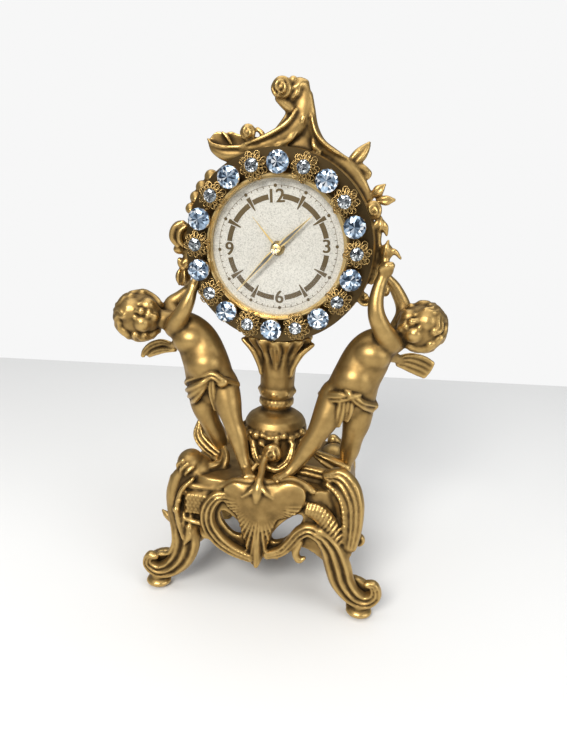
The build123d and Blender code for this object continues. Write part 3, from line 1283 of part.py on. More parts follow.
def child(pose, top):
    """A chubby child, built from its joint places and fused in one step."""
    spine = pose["spine"]
    turned = pose["turned_seams"]
    pieces = chain((*spine, pose["head"]), (*SPINE_RADII, NECK_END_RADIUS), turned)
    pieces += skull(pose["head"], pose["face"], top, turned)
    pieces += chain(pose["front_arm"], ARM_RADII, turned)
    pieces += chain(pose["rear_arm"], ARM_RADII, turned)
    for leg in ("inner_leg", "outer_leg"):
        pieces += chain(pose[leg], LEG_RADII, turned)
        ankle = pose[leg][2]
        post = Cylinder(
            SOLE_RADIUS,
            ankle[2] - DECK_Z,
            align=(Align.CENTER, Align.CENTER, Align.MIN),
            mode=Mode.PRIVATE,
        )
        pieces.append(Pos(ankle[0], ankle[1], DECK_Z) * post)
    hip = spine[0]
    cloth = ((hip[0] - 4.6, hip[1] - 0.6, hip[2] + 1.2), (hip[0] + 5.0, hip[1] - 0.6, hip[2] - 1.0))
    pieces += chain(cloth, CLOTH_RADII, turned)
    pieces.append(bead(pose["knot"], KNOT_RADIUS, seam_turn(4, turned)))
    pieces.append(leaf(pose["knot"], pose["drape"], DRAPE_WIDTH, DRAPE_THICKNESS, mode=Mode.PRIVATE))
    pieces += wing(*pose["wing"])
    pieces += chain((spine[2], pose["wing"][0]), WING_ROOT_RADII, turned)
    add(pieces)
    with Locations((0, 0, DECK_Z)):
        Box(200, 200, 40, align=(Align.CENTER, Align.CENTER, Align.MAX), mode=Mode.SUBTRACT)
    for leg in ("inner_leg", "outer_leg"):
        with Locations((pose[leg][2][0], pose[leg][2][1], DECK_Z)):
            Cylinder(FOOT_SCREW_RADIUS + SNUG, FOOT_SCREW_REACH * 2 + 1.0, mode=Mode.SUBTRACT)


with BuildPart() as left_cherub:
    child(left_child, top=(-1.0, 0.0, 0.25))
keep(left_cherub, "left_cherub")

with BuildPart() as right_cherub:
    child(right_child, top=(0.6, 0.0, 0.8))
keep(right_cherub, "right_cherub")

foot_screw_places = [
    pose[leg][2][:2] for pose in (left_child, right_child) for leg in ("inner_leg", "outer_leg")
]

# Base: a hollow bombe casting on four scroll feet, pierced beside the leaf on its front
front_leg = (
    (29.0, -15.0, 42.0), (34.0, -17.5, 34.5), (33.6, -20.5, 24.0), (31.4, -24.0, 14.5), (35.5, -27.0, 6.0),
)
rear_leg = (
    (25.0, 14.0, 40.0), (27.5, 17.0, 33.0), (26.5, 20.0, 23.0), (24.0, 23.5, 14.5), (26.0, 27.0, 6.0),
)
LEG_SCROLL_RADII = (6.6, 6.2, 4.8, 3.9, 3.6)
LEAF_TOP_Z = 44.6
LEAF_TIP_Z = 12.5
LEAF_WIDTH = 30.0
LEAF_WAIST_WIDTH = 11.0
LEAF_WAIST_Z = 27.0
HOLE_X = 11.2
HOLE_Z = 28.6
HOLE_LENGTH = 9.5
HOLE_WIDTH = 4.6
HOLE_TILT = 38.0
front_face_y = -WAIST_DEPTH / 2


def bombe(shrink, floor_z, top_z, mode=Mode.ADD):
    """The swelling body of the base, taken in by a wall thickness on every side."""
    sections = []
    for z, width, depth in (
        (floor_z, RIM_WIDTH, RIM_DEPTH),
        (WAIST_Z, WAIST_WIDTH, WAIST_DEPTH),
        (top_z, DECK_WIDTH, DECK_DEPTH),
    ):
        with BuildSketch(Plane.XY.offset(z)) as section:
            RectangleRounded(width - 2 * shrink, depth - 2 * shrink, BASE_CORNER - shrink)
        sections.append(section.sketch.face())
    loft(sections, mode=mode)


def scroll_foot(side, place_x, place_y):
    """A rolled scroll on a flat round pad."""
    middle = (side * place_x, place_y, PAD_HEIGHT + VOLUTE_RADIUS - VOLUTE_SINK)
    with BuildSketch(Plane(origin=middle, x_dir=(1, 0, 0), z_dir=(0, -1, 0))) as volute:
        Circle(VOLUTE_RADIUS)
    extrude(volute.sketch, amount=VOLUTE_WIDTH / 2, both=True)
    with Locations((side * place_x, place_y, 0)):
        Cylinder(PAD_RADIUS, PAD_HEIGHT + 1.0, align=(Align.CENTER, Align.CENTER, Align.MIN))


with BuildPart() as base_casting:
    bombe(0.0, RIM_Z, DECK_Z)
    bombe(BASE_WALL, RIM_Z - 0.01, deck_underside_z, Mode.SUBTRACT)
    for side in (-1, 1):
        arch_middle = (side * ARCH_RADIUS * 1.85, 0, RIM_Z)
        with BuildSketch(Plane(origin=arch_middle, x_dir=(1, 0, 0), z_dir=(0, -1, 0))):
            Ellipse(ARCH_RADIUS, ARCH_RADIUS * 0.9)
        extrude(amount=WAIST_DEPTH, both=True, mode=Mode.SUBTRACT)
    with BuildSketch(Plane(origin=(0, 0, RIM_Z), z_dir=(1, 0, 0), x_dir=(0, 1, 0))):
        Ellipse(ARCH_RADIUS * 1.3, ARCH_RADIUS)
    extrude(amount=WAIST_WIDTH, both=True, mode=Mode.SUBTRACT)
    for side in (-1, 1):
        limb([(side * x, y, z) for x, y, z in front_leg], LEG_SCROLL_RADII)
        limb([(side * x, y, z) for x, y, z in rear_leg], LEG_SCROLL_RADII)
        scroll_foot(side, FRONT_FOOT_X, FRONT_FOOT_Y)
        scroll_foot(side, REAR_FOOT_X, REAR_FOOT_Y)
    # The hollow is cleared again where the legs run through the wall
    bombe(BASE_WALL, RIM_Z - 0.01, deck_underside_z, Mode.SUBTRACT)
    # Leaf on the front, with a waist between the pierced holes and a tip below the rim
    with BuildSketch(Plane.XZ.offset(-front_face_y - LEAF_THICKNESS / 2)):
        with BuildLine():
            top = ThreePointArc(
                (-LEAF_WIDTH / 2, LEAF_TOP_Z - 6), (0, LEAF_TOP_Z - 1.5), (LEAF_WIDTH / 2, LEAF_TOP_Z - 6)
            )
            right = ThreePointArc(
                top @ 1, (LEAF_WAIST_WIDTH * 0.85, LEAF_WAIST_Z + 5), (LEAF_WAIST_WIDTH / 2, LEAF_WAIST_Z)
            )
            Line(right @ 1, (0, LEAF_TIP_Z))
            Line((0, LEAF_TIP_Z), (-LEAF_WAIST_WIDTH / 2, LEAF_WAIST_Z))
            ThreePointArc(
                (-LEAF_WAIST_WIDTH / 2, LEAF_WAIST_Z), (-LEAF_WAIST_WIDTH * 0.85, LEAF_WAIST_Z + 5), top @ 0
            )
        make_face()
    extrude(amount=LEAF_THICKNESS)
    # Pierced holes either side of the leaf's waist
    for side in (-1, 1):
        hole_middle = (side * HOLE_X, front_face_y + BASE_WALL * 2, HOLE_Z)
        tilt = math.radians(HOLE_TILT)
        along = (side * math.cos(tilt), 0, math.sin(tilt))
        with BuildSketch(Plane(origin=hole_middle, x_dir=along, z_dir=(0, -1, 0))):
            Ellipse(HOLE_LENGTH / 2, HOLE_WIDTH / 2)
        extrude(amount=BASE_WALL * 6, mode=Mode.SUBTRACT)
    # Bores for the tie rod and the screws that hold the figures
    with Locations((0, 0, DECK_Z)):
        Cylinder(ROD_RADIUS + RUNNING, DECK_THICKNESS * 3, mode=Mode.SUBTRACT)
    for x, y in foot_screw_places:
        with Locations((x, y, DECK_Z)):
            Cylinder(FOOT_SCREW_RADIUS + RUNNING, DECK_THICKNESS * 3, mode=Mode.SUBTRACT)
keep(base_casting, "base_casting")

with BuildPart() as figure_screws:
    for x, y in foot_screw_places:
        with Locations((x, y, deck_underside_z)):
            Cylinder(
                FOOT_SCREW_RADIUS, DECK_THICKNESS + FOOT_SCREW_REACH,
                align=(Align.CENTER, Align.CENTER, Align.MIN),
            )
            Cylinder(
                FOOT_SCREW_HEAD_RADIUS, FOOT_SCREW_HEAD_HEIGHT,
                align=(Align.CENTER, Align.CENTER, Align.MAX),
            )
keep(figure_screws, "figure_screws")
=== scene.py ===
import json
import math

import bpy
import numpy as np
from mathutils import Matrix, Vector


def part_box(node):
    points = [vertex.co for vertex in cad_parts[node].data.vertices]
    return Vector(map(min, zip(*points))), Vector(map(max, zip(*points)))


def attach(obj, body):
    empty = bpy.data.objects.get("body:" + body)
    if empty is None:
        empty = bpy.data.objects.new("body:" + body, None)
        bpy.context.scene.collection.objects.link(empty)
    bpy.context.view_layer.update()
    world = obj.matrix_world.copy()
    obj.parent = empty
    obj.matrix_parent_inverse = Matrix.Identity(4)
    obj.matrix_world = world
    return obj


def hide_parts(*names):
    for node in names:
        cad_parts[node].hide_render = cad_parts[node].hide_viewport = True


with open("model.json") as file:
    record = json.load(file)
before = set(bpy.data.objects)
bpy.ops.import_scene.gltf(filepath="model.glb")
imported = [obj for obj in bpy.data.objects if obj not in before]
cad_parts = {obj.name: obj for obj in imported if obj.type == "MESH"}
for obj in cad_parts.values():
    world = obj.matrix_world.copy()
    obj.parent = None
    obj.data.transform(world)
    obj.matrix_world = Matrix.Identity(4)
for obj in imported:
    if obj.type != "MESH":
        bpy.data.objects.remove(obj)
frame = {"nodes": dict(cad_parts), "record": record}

bl_info = {
    "name": "Figural alarm clock",
    "version": (1, 0, 0),
    "blender": (4, 5, 0),
    "location": "3D View > Sidebar > Clock",
    "description": "Builds the looks of a gilt figural table alarm clock over its frame",
    "category": "Object",
}

MM = 0.001

# The most triangles of one casting
MOST_TRIANGLES = 190000

# Height of the dial's middle and place of its face, in millimetres
AXIS_Z = 124.6
FACE_Y = -11.0
MIDDLE = Vector((0.0, 0.0, AXIS_Z))
FRONT = (0.0, -1.0, 0.0)

# Rounds of spreading after which hollows are measured, and the depth of a full one in grains
HOLLOW_STEPS = (4, 24)
HOLLOW_DEPTH = 0.3

# Rounds of smoothing of the children's skin, and the grain of finer castings as shares of the common one
SKIN_ROUNDS = 20
HEAD_GRAIN = 0.8
CHILD_GRAIN = 0.85
SURROUND_GRAIN = 0.9

# Stones of each size round the dial, the half step between them, and the posts and wire of their settings
STONE_COUNT = 10
HALF_STEP = 180.0 / STONE_COUNT
POST_RADIUS = 2.2
WIRE_WIDTH = 0.4

# Units of depth in the height of a cut stone's point over its girdle, and in the stone's radius
STONE_TOP = 0.9
STONE_FLATNESS = 3.05


# Selecting, joining and finishing


def only(*pieces):
    """Selects these pieces alone, the first one active."""
    bpy.ops.object.select_all(action="DESELECT")
    for piece in pieces:
        piece.select_set(True)
    bpy.context.view_layer.objects.active = pieces[0]


def joined(name, pieces):
    """One object at the origin from several pieces."""
    only(*pieces)
    if len(pieces) > 1:
        bpy.ops.object.join()
    piece = bpy.context.view_layer.objects.active
    bpy.ops.object.transform_apply(location=True, rotation=True, scale=True)
    piece.name = name
    piece.data.name = name
    return piece


def modified(piece, kind, **values):
    """Adds a modifier with these values and applies it."""
    only(piece)
    modifier = piece.modifiers.new(kind.lower(), kind)
    for key, value in values.items():
        setattr(modifier, key, value)
    bpy.ops.object.modifier_apply(modifier=modifier.name)
    return piece


def outward(piece):
    """Turns every face outward."""
    only(piece)
    bpy.ops.object.mode_set(mode="EDIT")
    bpy.ops.mesh.select_all(action="SELECT")
    bpy.ops.mesh.normals_make_consistent(inside=False)
    bpy.ops.object.mode_set(mode="OBJECT")
    return piece


def cast(name, pieces, voxel, smoothing=4):
    """Pieces flowed into one casting that keeps the depth of its hollows, thinned if it is too fine."""
    piece = joined(name, pieces)
    modified(piece, "REMESH", mode="VOXEL", voxel_size=voxel * MM)
    modified(piece, "SMOOTH", factor=0.5, iterations=smoothing)
    only(piece)
    bpy.ops.object.shade_smooth()
    keep_hollows(piece, voxel)
    triangles = sum(len(face.vertices) - 2 for face in piece.data.polygons)
    if triangles > MOST_TRIANGLES:
        modified(piece, "DECIMATE", ratio=MOST_TRIANGLES / triangles)
    return piece


def flesh(pieces, voxel, rounds):
    """Body and limbs flowed into one soft form."""
    piece = joined("flesh", pieces)
    modified(piece, "REMESH", mode="VOXEL", voxel_size=voxel * MM)
    return modified(piece, "SMOOTH", factor=0.5, iterations=rounds)


def keep_hollows(piece, voxel):
    """Writes an attribute that is high in hollows and low on ridges."""
    mesh = piece.data
    count = len(mesh.vertices)
    spots = np.empty(count * 3)
    mesh.vertices.foreach_get("co", spots)
    spots = spots.reshape(-1, 3)
    normals = np.empty(count * 3)
    mesh.vertex_normals.foreach_get("vector", normals)
    normals = normals.reshape(-1, 3)
    ends = np.empty(len(mesh.edges) * 2, dtype=np.int32)
    mesh.edges.foreach_get("vertices", ends)
    a, b = ends.reshape(-1, 2).T
    share = np.maximum(np.bincount(a, minlength=count) + np.bincount(b, minlength=count), 1)
    spread = spots.copy()
    hollow = np.zeros(count)
    for step in range(1, max(HOLLOW_STEPS) + 1):
        total = np.empty_like(spread)
        for k in range(3):
            total[:, k] = np.bincount(a, spread[b, k], count) + np.bincount(b, spread[a, k], count)
        spread = total / share[:, None]
        if step in HOLLOW_STEPS:
            depth = ((spread - spots) * normals).sum(axis=1)
            full_depth = voxel * MM * math.sqrt(step) * HOLLOW_DEPTH
            hollow += np.clip(depth / full_depth, -1, 1) / len(HOLLOW_STEPS)
    layer = mesh.attributes.new("hollow", "FLOAT", "POINT")
    layer.data.foreach_set("value", 0.5 + 0.5 * hollow)


def placed(piece, body, slot, finish, *nodes):
    """Paints a piece, lets it ride on its body and stand for its nodes."""
    piece.data.materials.clear()
    piece.data.materials.append(finish)
    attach(piece, body)
    if nodes:
        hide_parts(*nodes)
    return piece


# Loose pieces, in millimetres


def ball(spot, radii, turn=(0.0, 0.0, 0.0), detail=18):
    """A round or oval lump."""
    if isinstance(radii, (int, float)):
        radii = (radii, radii, radii)
    bpy.ops.mesh.primitive_uv_sphere_add(
        segments=detail,
        ring_count=detail * 2 // 3,
        radius=1.0,
        location=[v * MM for v in spot],
        rotation=[math.radians(v) for v in turn],
        scale=[v * MM for v in radii],
    )
    return bpy.context.active_object


def shaped(name, verts, faces):
    """A mesh object from its corners in millimetres."""
    mesh = bpy.data.meshes.new(name)
    mesh.from_pydata([tuple(v * MM for v in vert) for vert in verts], [], faces)
    mesh.update()
    piece = bpy.data.objects.new(name, mesh)
    bpy.context.scene.collection.objects.link(piece)
    return piece


def flowing(rows, steps):
    """Rows of numbers along a smooth line through the given rows."""
    rows = np.array(rows, float)
    padded = np.vstack([2 * rows[0] - rows[1], rows, 2 * rows[-1] - rows[-2]])
    line = []
    for index in range(len(rows) - 1):
        a, b, c, d = padded[index:index + 4]
        for t in np.linspace(0.0, 1.0, steps, endpoint=False):
            line.append(b + 0.5 * t * (c - a + t * (2 * a - 5 * b + 4 * c - d + t * (3 * (b - c) + d - a))))
    line.append(rows[-1])
    return np.array(line)


def rounded(line):
    """A line with its two ends run out into round tips."""
    tips = []
    for end, near in ((line[0], line[1]), (line[-1], line[-2])):
        run = end[:3] - near[:3]
        run /= max(np.linalg.norm(run), 1e-6)
        reach = min(end[3], end[4]) / 2
        tip = []
        for share in (0.5, 0.85, 0.99):
            grow = math.sqrt(1.0 - share * share)
            tip.append((*(end[:3] + run * reach * share), end[3] * grow, end[4] * grow))
        tips.append(tip)
    return np.vstack([tips[0][::-1], line, tips[1]])


def band(rows, facing=FRONT, ribs=0, groove=0.45, steps=6, sides=20):
    """A rounded band along a smooth line: each row is a place, a width and a depth."""
    line = rounded(flowing(rows, steps))
    spots = line[:, :3]
    widths = np.maximum(line[:, 3], 0.3)
    depths = np.maximum(line[:, 4], 0.3)
    runs = np.gradient(spots, axis=0)
    runs /= np.linalg.norm(runs, axis=1)[:, None]
    out = np.array(facing, float) - runs * (runs @ np.array(facing, float))[:, None]
    out /= np.maximum(np.linalg.norm(out, axis=1), 1e-6)[:, None]
    side = np.cross(runs, out)
    sides += 8 * ribs
    turn = np.linspace(0.0, 2.0 * math.pi, sides, endpoint=False)
    across, lift = np.cos(turn), np.sin(turn)
    if ribs:
        ridge = 0.5 - 0.5 * np.cos(math.pi * ribs * (across + 1.0))
        lift = np.sign(lift) * np.abs(lift) ** 0.6 * np.where(lift > 0, 1.0 - groove * (1.0 - ridge), 1.0)
    shape = (
        spots[:, None, :]
        + side[:, None, :] * (across[None, :, None] * widths[:, None, None] / 2)
        + out[:, None, :] * (lift[None, :, None] * depths[:, None, None] / 2)
    )
    faces = []
    for row in range(len(spots) - 1):
        for k in range(sides):
            n = (k + 1) % sides
            faces.append((row * sides + k, row * sides + n, (row + 1) * sides + n, (row + 1) * sides + k))
    faces.append(tuple(reversed(range(sides))))
    faces.append(tuple(range((len(spots) - 1) * sides, len(spots) * sides)))
    return shaped("band", shape.reshape(-1, 3), faces)


def volute(centre, radius, turns, width, depth, start, sense=1):
    """A spiral scroll that faces the front, winds in to its eye and rises toward it."""
    rise = 0.8
    shrink = 0.86
    thinning = 0.45
    rows = []
    count = int(10 * turns) + 2
    for index in range(count):
        share = index / (count - 1)
        angle = math.radians(start) + sense * turns * 2 * math.pi * share
        reach = radius * (1.0 - shrink * share)
        thick = 1.0 - thinning * share
        rows.append((
            centre[0] + reach * math.cos(angle),
            centre[1] - rise * share,
            centre[2] + reach * math.sin(angle),
            width * thick,
            depth * thick,
        ))
    eye = ball((centre[0], centre[1] - rise, centre[2]), (radius * 0.3, depth * 0.5, radius * 0.3))
    return [band(rows, steps=3), eye]


def rose(centre, radius):
    """A rose that faces the front: petals wrapped round a whorl."""
    x, y, z = centre
    pieces = [ball(centre, (radius * 0.8, radius * 0.55, radius * 0.8))]
    for reach, petals, lift, first in ((0.76, 3, 0.12, 20.0), (0.42, 2, 0.5, 70.0)):
        for index in range(petals):
            rows = []
            for share in (0.0, 0.25, 0.5, 0.75, 1.0):
                angle = math.radians(first + 360.0 * index / petals + 160.0 * share)
                wrap = radius * (reach + 0.1 - 0.16 * share)
                full = 0.55 + 0.45 * math.sin(math.pi * share)
                rows.append((
                    x + wrap * math.cos(angle), y - radius * (lift + 0.14 * share),
                    z + wrap * math.sin(angle),
                    radius * 0.34 * full, radius * 0.7 * full,
                ))
            pieces.append(band(rows, steps=4))
    pieces.append(ball((x, y - radius * 0.62, z), radius * 0.2, detail=10))
    return pieces


def leaf(rows):
    """A blunt folded leaf along a smooth line."""
    return band(rows, ribs=2, groove=0.4)


def plate(outline, centre, y, thick, bulge, ridges=0, depth=0.0):
    """A cast plate that swells to its middle, with ridges that run out to its lower edge."""
    smooth_reach = 7.0
    fade = 4.0
    rings = 14
    line = flowing([*outline, outline[0]], 20)[:-1]
    middle = np.array(centre, float)
    count = len(line)
    verts = [(centre[0], y - bulge, centre[1])]
    for ring in range(1, rings + 1):
        share = ring / rings
        for spot in middle + (line - middle) * share:
            away = spot - middle
            outer = min(max((math.hypot(*away) - smooth_reach) / fade, 0.0), 1.0)
            lower = min(max(0.3 - away[1] / fade, 0.0), 1.0)
            run = outer * lower
            wave = 0.5 + 0.5 * math.cos(ridges * math.atan2(away[1], away[0]))
            verts.append((spot[0], y - bulge * (1.0 - share * share) - depth * run * wave, spot[1]))
    verts += [(spot[0], y + thick, spot[1]) for spot in line]
    verts.append((centre[0], y + thick, centre[1]))
    faces = []
    last = 1 + rings * count
    for k in range(count):
        n = (k + 1) % count
        faces += [(0, 1 + k, 1 + n), (last + n, last + k, len(verts) - 1)]
        for ring in range(rings):
            a, b = 1 + ring * count, 1 + (ring + 1) * count
            faces.append((a + k, b + k, b + n, a + n))
    return outward(shaped("plate", verts, faces))


def spun(name, profile, steps=96, flutes=0, depth=0.0, axis="Z", middle=(0.0, 0.0, 0.0)):
    """A turned piece from a closed profile of radius, height and flute share."""
    verts, faces = [], []
    count = len(profile)
    for step in range(steps):
        angle = 2.0 * math.pi * step / steps
        for radius, height, share in profile:
            reach = radius - depth * share * (0.5 + 0.5 * math.cos(flutes * angle))
            if axis == "Z":
                verts.append((
                    middle[0] + reach * math.cos(angle), middle[1] + reach * math.sin(angle), height,
                ))
            else:
                verts.append((
                    middle[0] + reach * math.cos(angle), height, middle[2] + reach * math.sin(angle),
                ))
    for step in range(steps):
        for k in range(count):
            n = (k + 1) % count
            after = (step + 1) % steps
            faces.append((step * count + k, after * count + k, after * count + n, step * count + n))
    return shaped(name, verts, faces)


# Finishes


def blank(name):
    """An empty node material."""
    finish = bpy.data.materials.new(name)
    finish.use_nodes = True
    nodes = finish.node_tree.nodes
    shader = nodes["Principled BSDF"]
    return finish, nodes, finish.node_tree.links, shader


def colours(nodes, stops):
    """A colour ramp with these stops."""
    ramp = nodes.new("ShaderNodeValToRGB")
    points = ramp.color_ramp.elements
    while len(points) < len(stops):
        points.new(0.5)
    for point, (place, colour) in zip(points, stops):
        point.position = place
        point.color = (*colour, 1.0)
    return ramp


def grained(nodes, links, scale, detail):
    """A fine noise that is fixed to the piece."""
    place = nodes.new("ShaderNodeTexCoord")
    noise = nodes.new("ShaderNodeTexNoise")
    noise.inputs["Scale"].default_value = scale
    noise.inputs["Detail"].default_value = detail
    links.new(place.outputs["Object"], noise.inputs["Vector"])
    return noise.outputs["Fac"]


def gilt(name, bright, deep, dark):
    """Antique gilding: bright on ridges, brown in hollows, with a soft uneven grain."""
    grain_share = 0.34
    polished = 0.34
    dull = 0.72
    finish, nodes, links, shader = blank(name)
    noise = grained(nodes, links, 260.0, 4.0)
    hollow = nodes.new("ShaderNodeAttribute")
    hollow.attribute_name = "hollow"
    mixed = nodes.new("ShaderNodeMath")
    mixed.operation = "MULTIPLY_ADD"
    mixed.inputs[1].default_value = grain_share
    links.new(noise, mixed.inputs[0])
    lowered = nodes.new("ShaderNodeMath")
    lowered.operation = "SUBTRACT"
    lowered.inputs[1].default_value = grain_share / 2
    links.new(hollow.outputs["Fac"], lowered.inputs[0])
    links.new(lowered.outputs["Value"], mixed.inputs[2])
    darkest = tuple(v * 0.35 for v in dark)
    ramp = colours(nodes, ((0.22, bright), (0.5, deep), (0.68, dark), (0.9, darkest)))
    links.new(mixed.outputs["Value"], ramp.inputs["Fac"])
    links.new(ramp.outputs["Color"], shader.inputs["Base Color"])
    shine = nodes.new("ShaderNodeMapRange")
    shine.inputs["From Min"].default_value = 0.3
    shine.inputs["From Max"].default_value = 0.8
    shine.inputs["To Min"].default_value = polished
    shine.inputs["To Max"].default_value = dull
    links.new(mixed.outputs["Value"], shine.inputs["Value"])
    links.new(shine.outputs["Result"], shader.inputs["Roughness"])
    shader.inputs["Metallic"].default_value = 0.92
    bump = nodes.new("ShaderNodeBump")
    bump.inputs["Strength"].default_value = 0.12
    bump.inputs["Distance"].default_value = 0.0006
    links.new(noise, bump.inputs["Height"])
    links.new(bump.outputs["Normal"], shader.inputs["Normal"])
    return finish


def metal(name, colour, rough):
    """A plain metal, with a fine uneven polish."""
    spread = 0.08
    finest = 0.04
    finish, nodes, links, shader = blank(name)
    shader.inputs["Base Color"].default_value = (*colour, 1.0)
    shader.inputs["Metallic"].default_value = 1.0
    noise = grained(nodes, links, 420.0, 3.0)
    shine = nodes.new("ShaderNodeMapRange")
    shine.inputs["To Min"].default_value = max(rough - spread, finest)
    shine.inputs["To Max"].default_value = rough + spread
    links.new(noise, shine.inputs["Value"])
    links.new(shine.outputs["Result"], shader.inputs["Roughness"])
    return finish


def ringed(name, inner, outer):
    """A gilt ring about the dial's axis: gilt at its inner rim, and dark with painted shade outside it,
    where the settings stand.
    """
    bright_end = 0.0233
    # Past this radius the ring takes its outer colour, which is painted shade
    painted_shade_start = 0.0239
    finish, nodes, links, shader = blank(name)
    place = nodes.new("ShaderNodeTexCoord")
    moved = nodes.new("ShaderNodeVectorMath")
    moved.operation = "MULTIPLY_ADD"
    moved.inputs[1].default_value = (1.0, 0.0, 1.0)
    moved.inputs[2].default_value = (0.0, 0.0, -AXIS_Z * MM)
    links.new(place.outputs["Object"], moved.inputs[0])
    reach = nodes.new("ShaderNodeVectorMath")
    reach.operation = "LENGTH"
    links.new(moved.outputs["Vector"], reach.inputs[0])
    share = nodes.new("ShaderNodeMapRange")
    share.inputs["From Min"].default_value = bright_end
    share.inputs["From Max"].default_value = painted_shade_start
    links.new(reach.outputs["Value"], share.inputs["Value"])
    # Inner colour is the gilt; outer colour is painted shade
    ramp = colours(nodes, ((0.0, inner), (1.0, outer)))
    links.new(share.outputs["Result"], ramp.inputs["Fac"])
    links.new(ramp.outputs["Color"], shader.inputs["Base Color"])
    shader.inputs["Metallic"].default_value = 1.0
    shader.inputs["Roughness"].default_value = 0.28
    return finish


def silvered(name, speckle, ground):
    """A silvered white dial with a fine frosted speckle."""
    finish, nodes, links, shader = blank(name)
    noise = grained(nodes, links, 2600.0, 2.0)
    ramp = colours(nodes, ((0.3, speckle), (0.55, ground)))
    links.new(noise, ramp.inputs["Fac"])
    links.new(ramp.outputs["Color"], shader.inputs["Base Color"])
    shader.inputs["Metallic"].default_value = 0.15
    shader.inputs["Roughness"].default_value = 0.45
    return finish


def paste(name, low, high, painted_glow):
    """Glass paste with painted glints: each facet takes its own painted brightness between two colours, up
    to painted white, and the stone glows a little with painted light.
    """
    finish, nodes, links, shader = blank(name)
    painted_glint = nodes.new("ShaderNodeAttribute")
    painted_glint.attribute_name = "painted_glint"
    half = tuple((a + b) / 2 for a, b in zip(low, high))
    # Facet colours run from dark to the stone's bright colour to white: painted glints and reflections
    ramp = colours(nodes, ((0.0, low), (0.3, low), (0.5, half), (0.78, high), (0.9, (0.96, 0.98, 1.0))))
    links.new(painted_glint.outputs["Fac"], ramp.inputs["Fac"])
    links.new(ramp.outputs["Color"], shader.inputs["Base Color"])
    # The facets glow in their own colours: painted light
    links.new(ramp.outputs["Color"], shader.inputs["Emission Color"])
    shader.inputs["Emission Strength"].default_value = painted_glow
    shader.inputs["Metallic"].default_value = 0.85
    shader.inputs["Roughness"].default_value = 0.06
    shader.inputs["Coat Weight"].default_value = 0.6
    shader.inputs["Coat Roughness"].default_value = 0.02
    return finish


def clear(name):
    """Thin clear glass that shows the dial and a little of the room."""
    facing_shine = 0.025
    edge_shine = 0.6
    edge_sharpness = 4.0
    finish, nodes, links, shader = blank(name)
    nodes.remove(shader)
    through = nodes.new("ShaderNodeBsdfTransparent")
    gloss = nodes.new("ShaderNodeBsdfGlossy")
    gloss.inputs["Roughness"].default_value = 0.03
    edge = nodes.new("ShaderNodeLayerWeight")
    edge.inputs["Blend"].default_value = 0.5
    bend = nodes.new("ShaderNodeMath")
    bend.operation = "POWER"
    bend.inputs[1].default_value = edge_sharpness
    links.new(edge.outputs["Facing"], bend.inputs[0])
    share = nodes.new("ShaderNodeMath")
    share.operation = "MULTIPLY_ADD"
    share.inputs[1].default_value = edge_shine
    share.inputs[2].default_value = facing_shine
    links.new(bend.outputs["Value"], share.inputs[0])
    mix = nodes.new("ShaderNodeMixShader")
    links.new(share.outputs["Value"], mix.inputs["Fac"])
    links.new(through.outputs["BSDF"], mix.inputs[1])
    links.new(gloss.outputs["BSDF"], mix.inputs[2])
    links.new(mix.outputs["Shader"], nodes["Material Output"].inputs["Surface"])
    return finish


finishes = {}


def finish_of(name):
    """Each finish of the clock, made once."""
    if name not in finishes:
        chosen = settings()
        makers = {
            "gilt": lambda: gilt(
                "antique_gilt", chosen.gilt_colour, (0.27, 0.17, 0.058), (0.075, 0.046, 0.017),
            ),
            "filigree": lambda: metal("filigree_gilt", (0.34, 0.225, 0.085), 0.26),
            # Bezel: gilt at the inner rim, then a dark outer colour that is painted shade behind the
            # settings
            "bezel": lambda: ringed("bezel_gilt", (0.70, 0.51, 0.22), (0.085, 0.056, 0.024)),
            "gold": lambda: metal("hand_gilt", (0.88, 0.66, 0.28), 0.34),
            "brass": lambda: metal("case_brass", (0.62, 0.46, 0.20), 0.34),
            "wheel": lambda: metal("movement_brass", (0.66, 0.51, 0.24), 0.3),
            "steel": lambda: metal("steel", (0.46, 0.46, 0.47), 0.3),
            "silver": lambda: silvered("dial_silver", (0.36, 0.35, 0.31), chosen.dial_colour),
            # Paste stones: facet brightness is painted glints, and each stone glows with painted light
            "blue": lambda: paste("blue_paste", (0.025, 0.045, 0.075), chosen.stone_colour, 0.3),
            "grey": lambda: paste("grey_paste", (0.03, 0.035, 0.04), chosen.small_colour, 0.1),
            "glass": lambda: clear("crystal_glass"),
            # The dial print is gilt; its dark brown colour is a painted reflection of a dark room
            "print": lambda: metal("dial_print", (0.115, 0.083, 0.042), 0.45),
            "inlay": lambda: metal("hand_inlay", (0.16, 0.16, 0.15), 0.4),
        }
        finishes[name] = makers[name]()
    return finishes[name]


# Settings


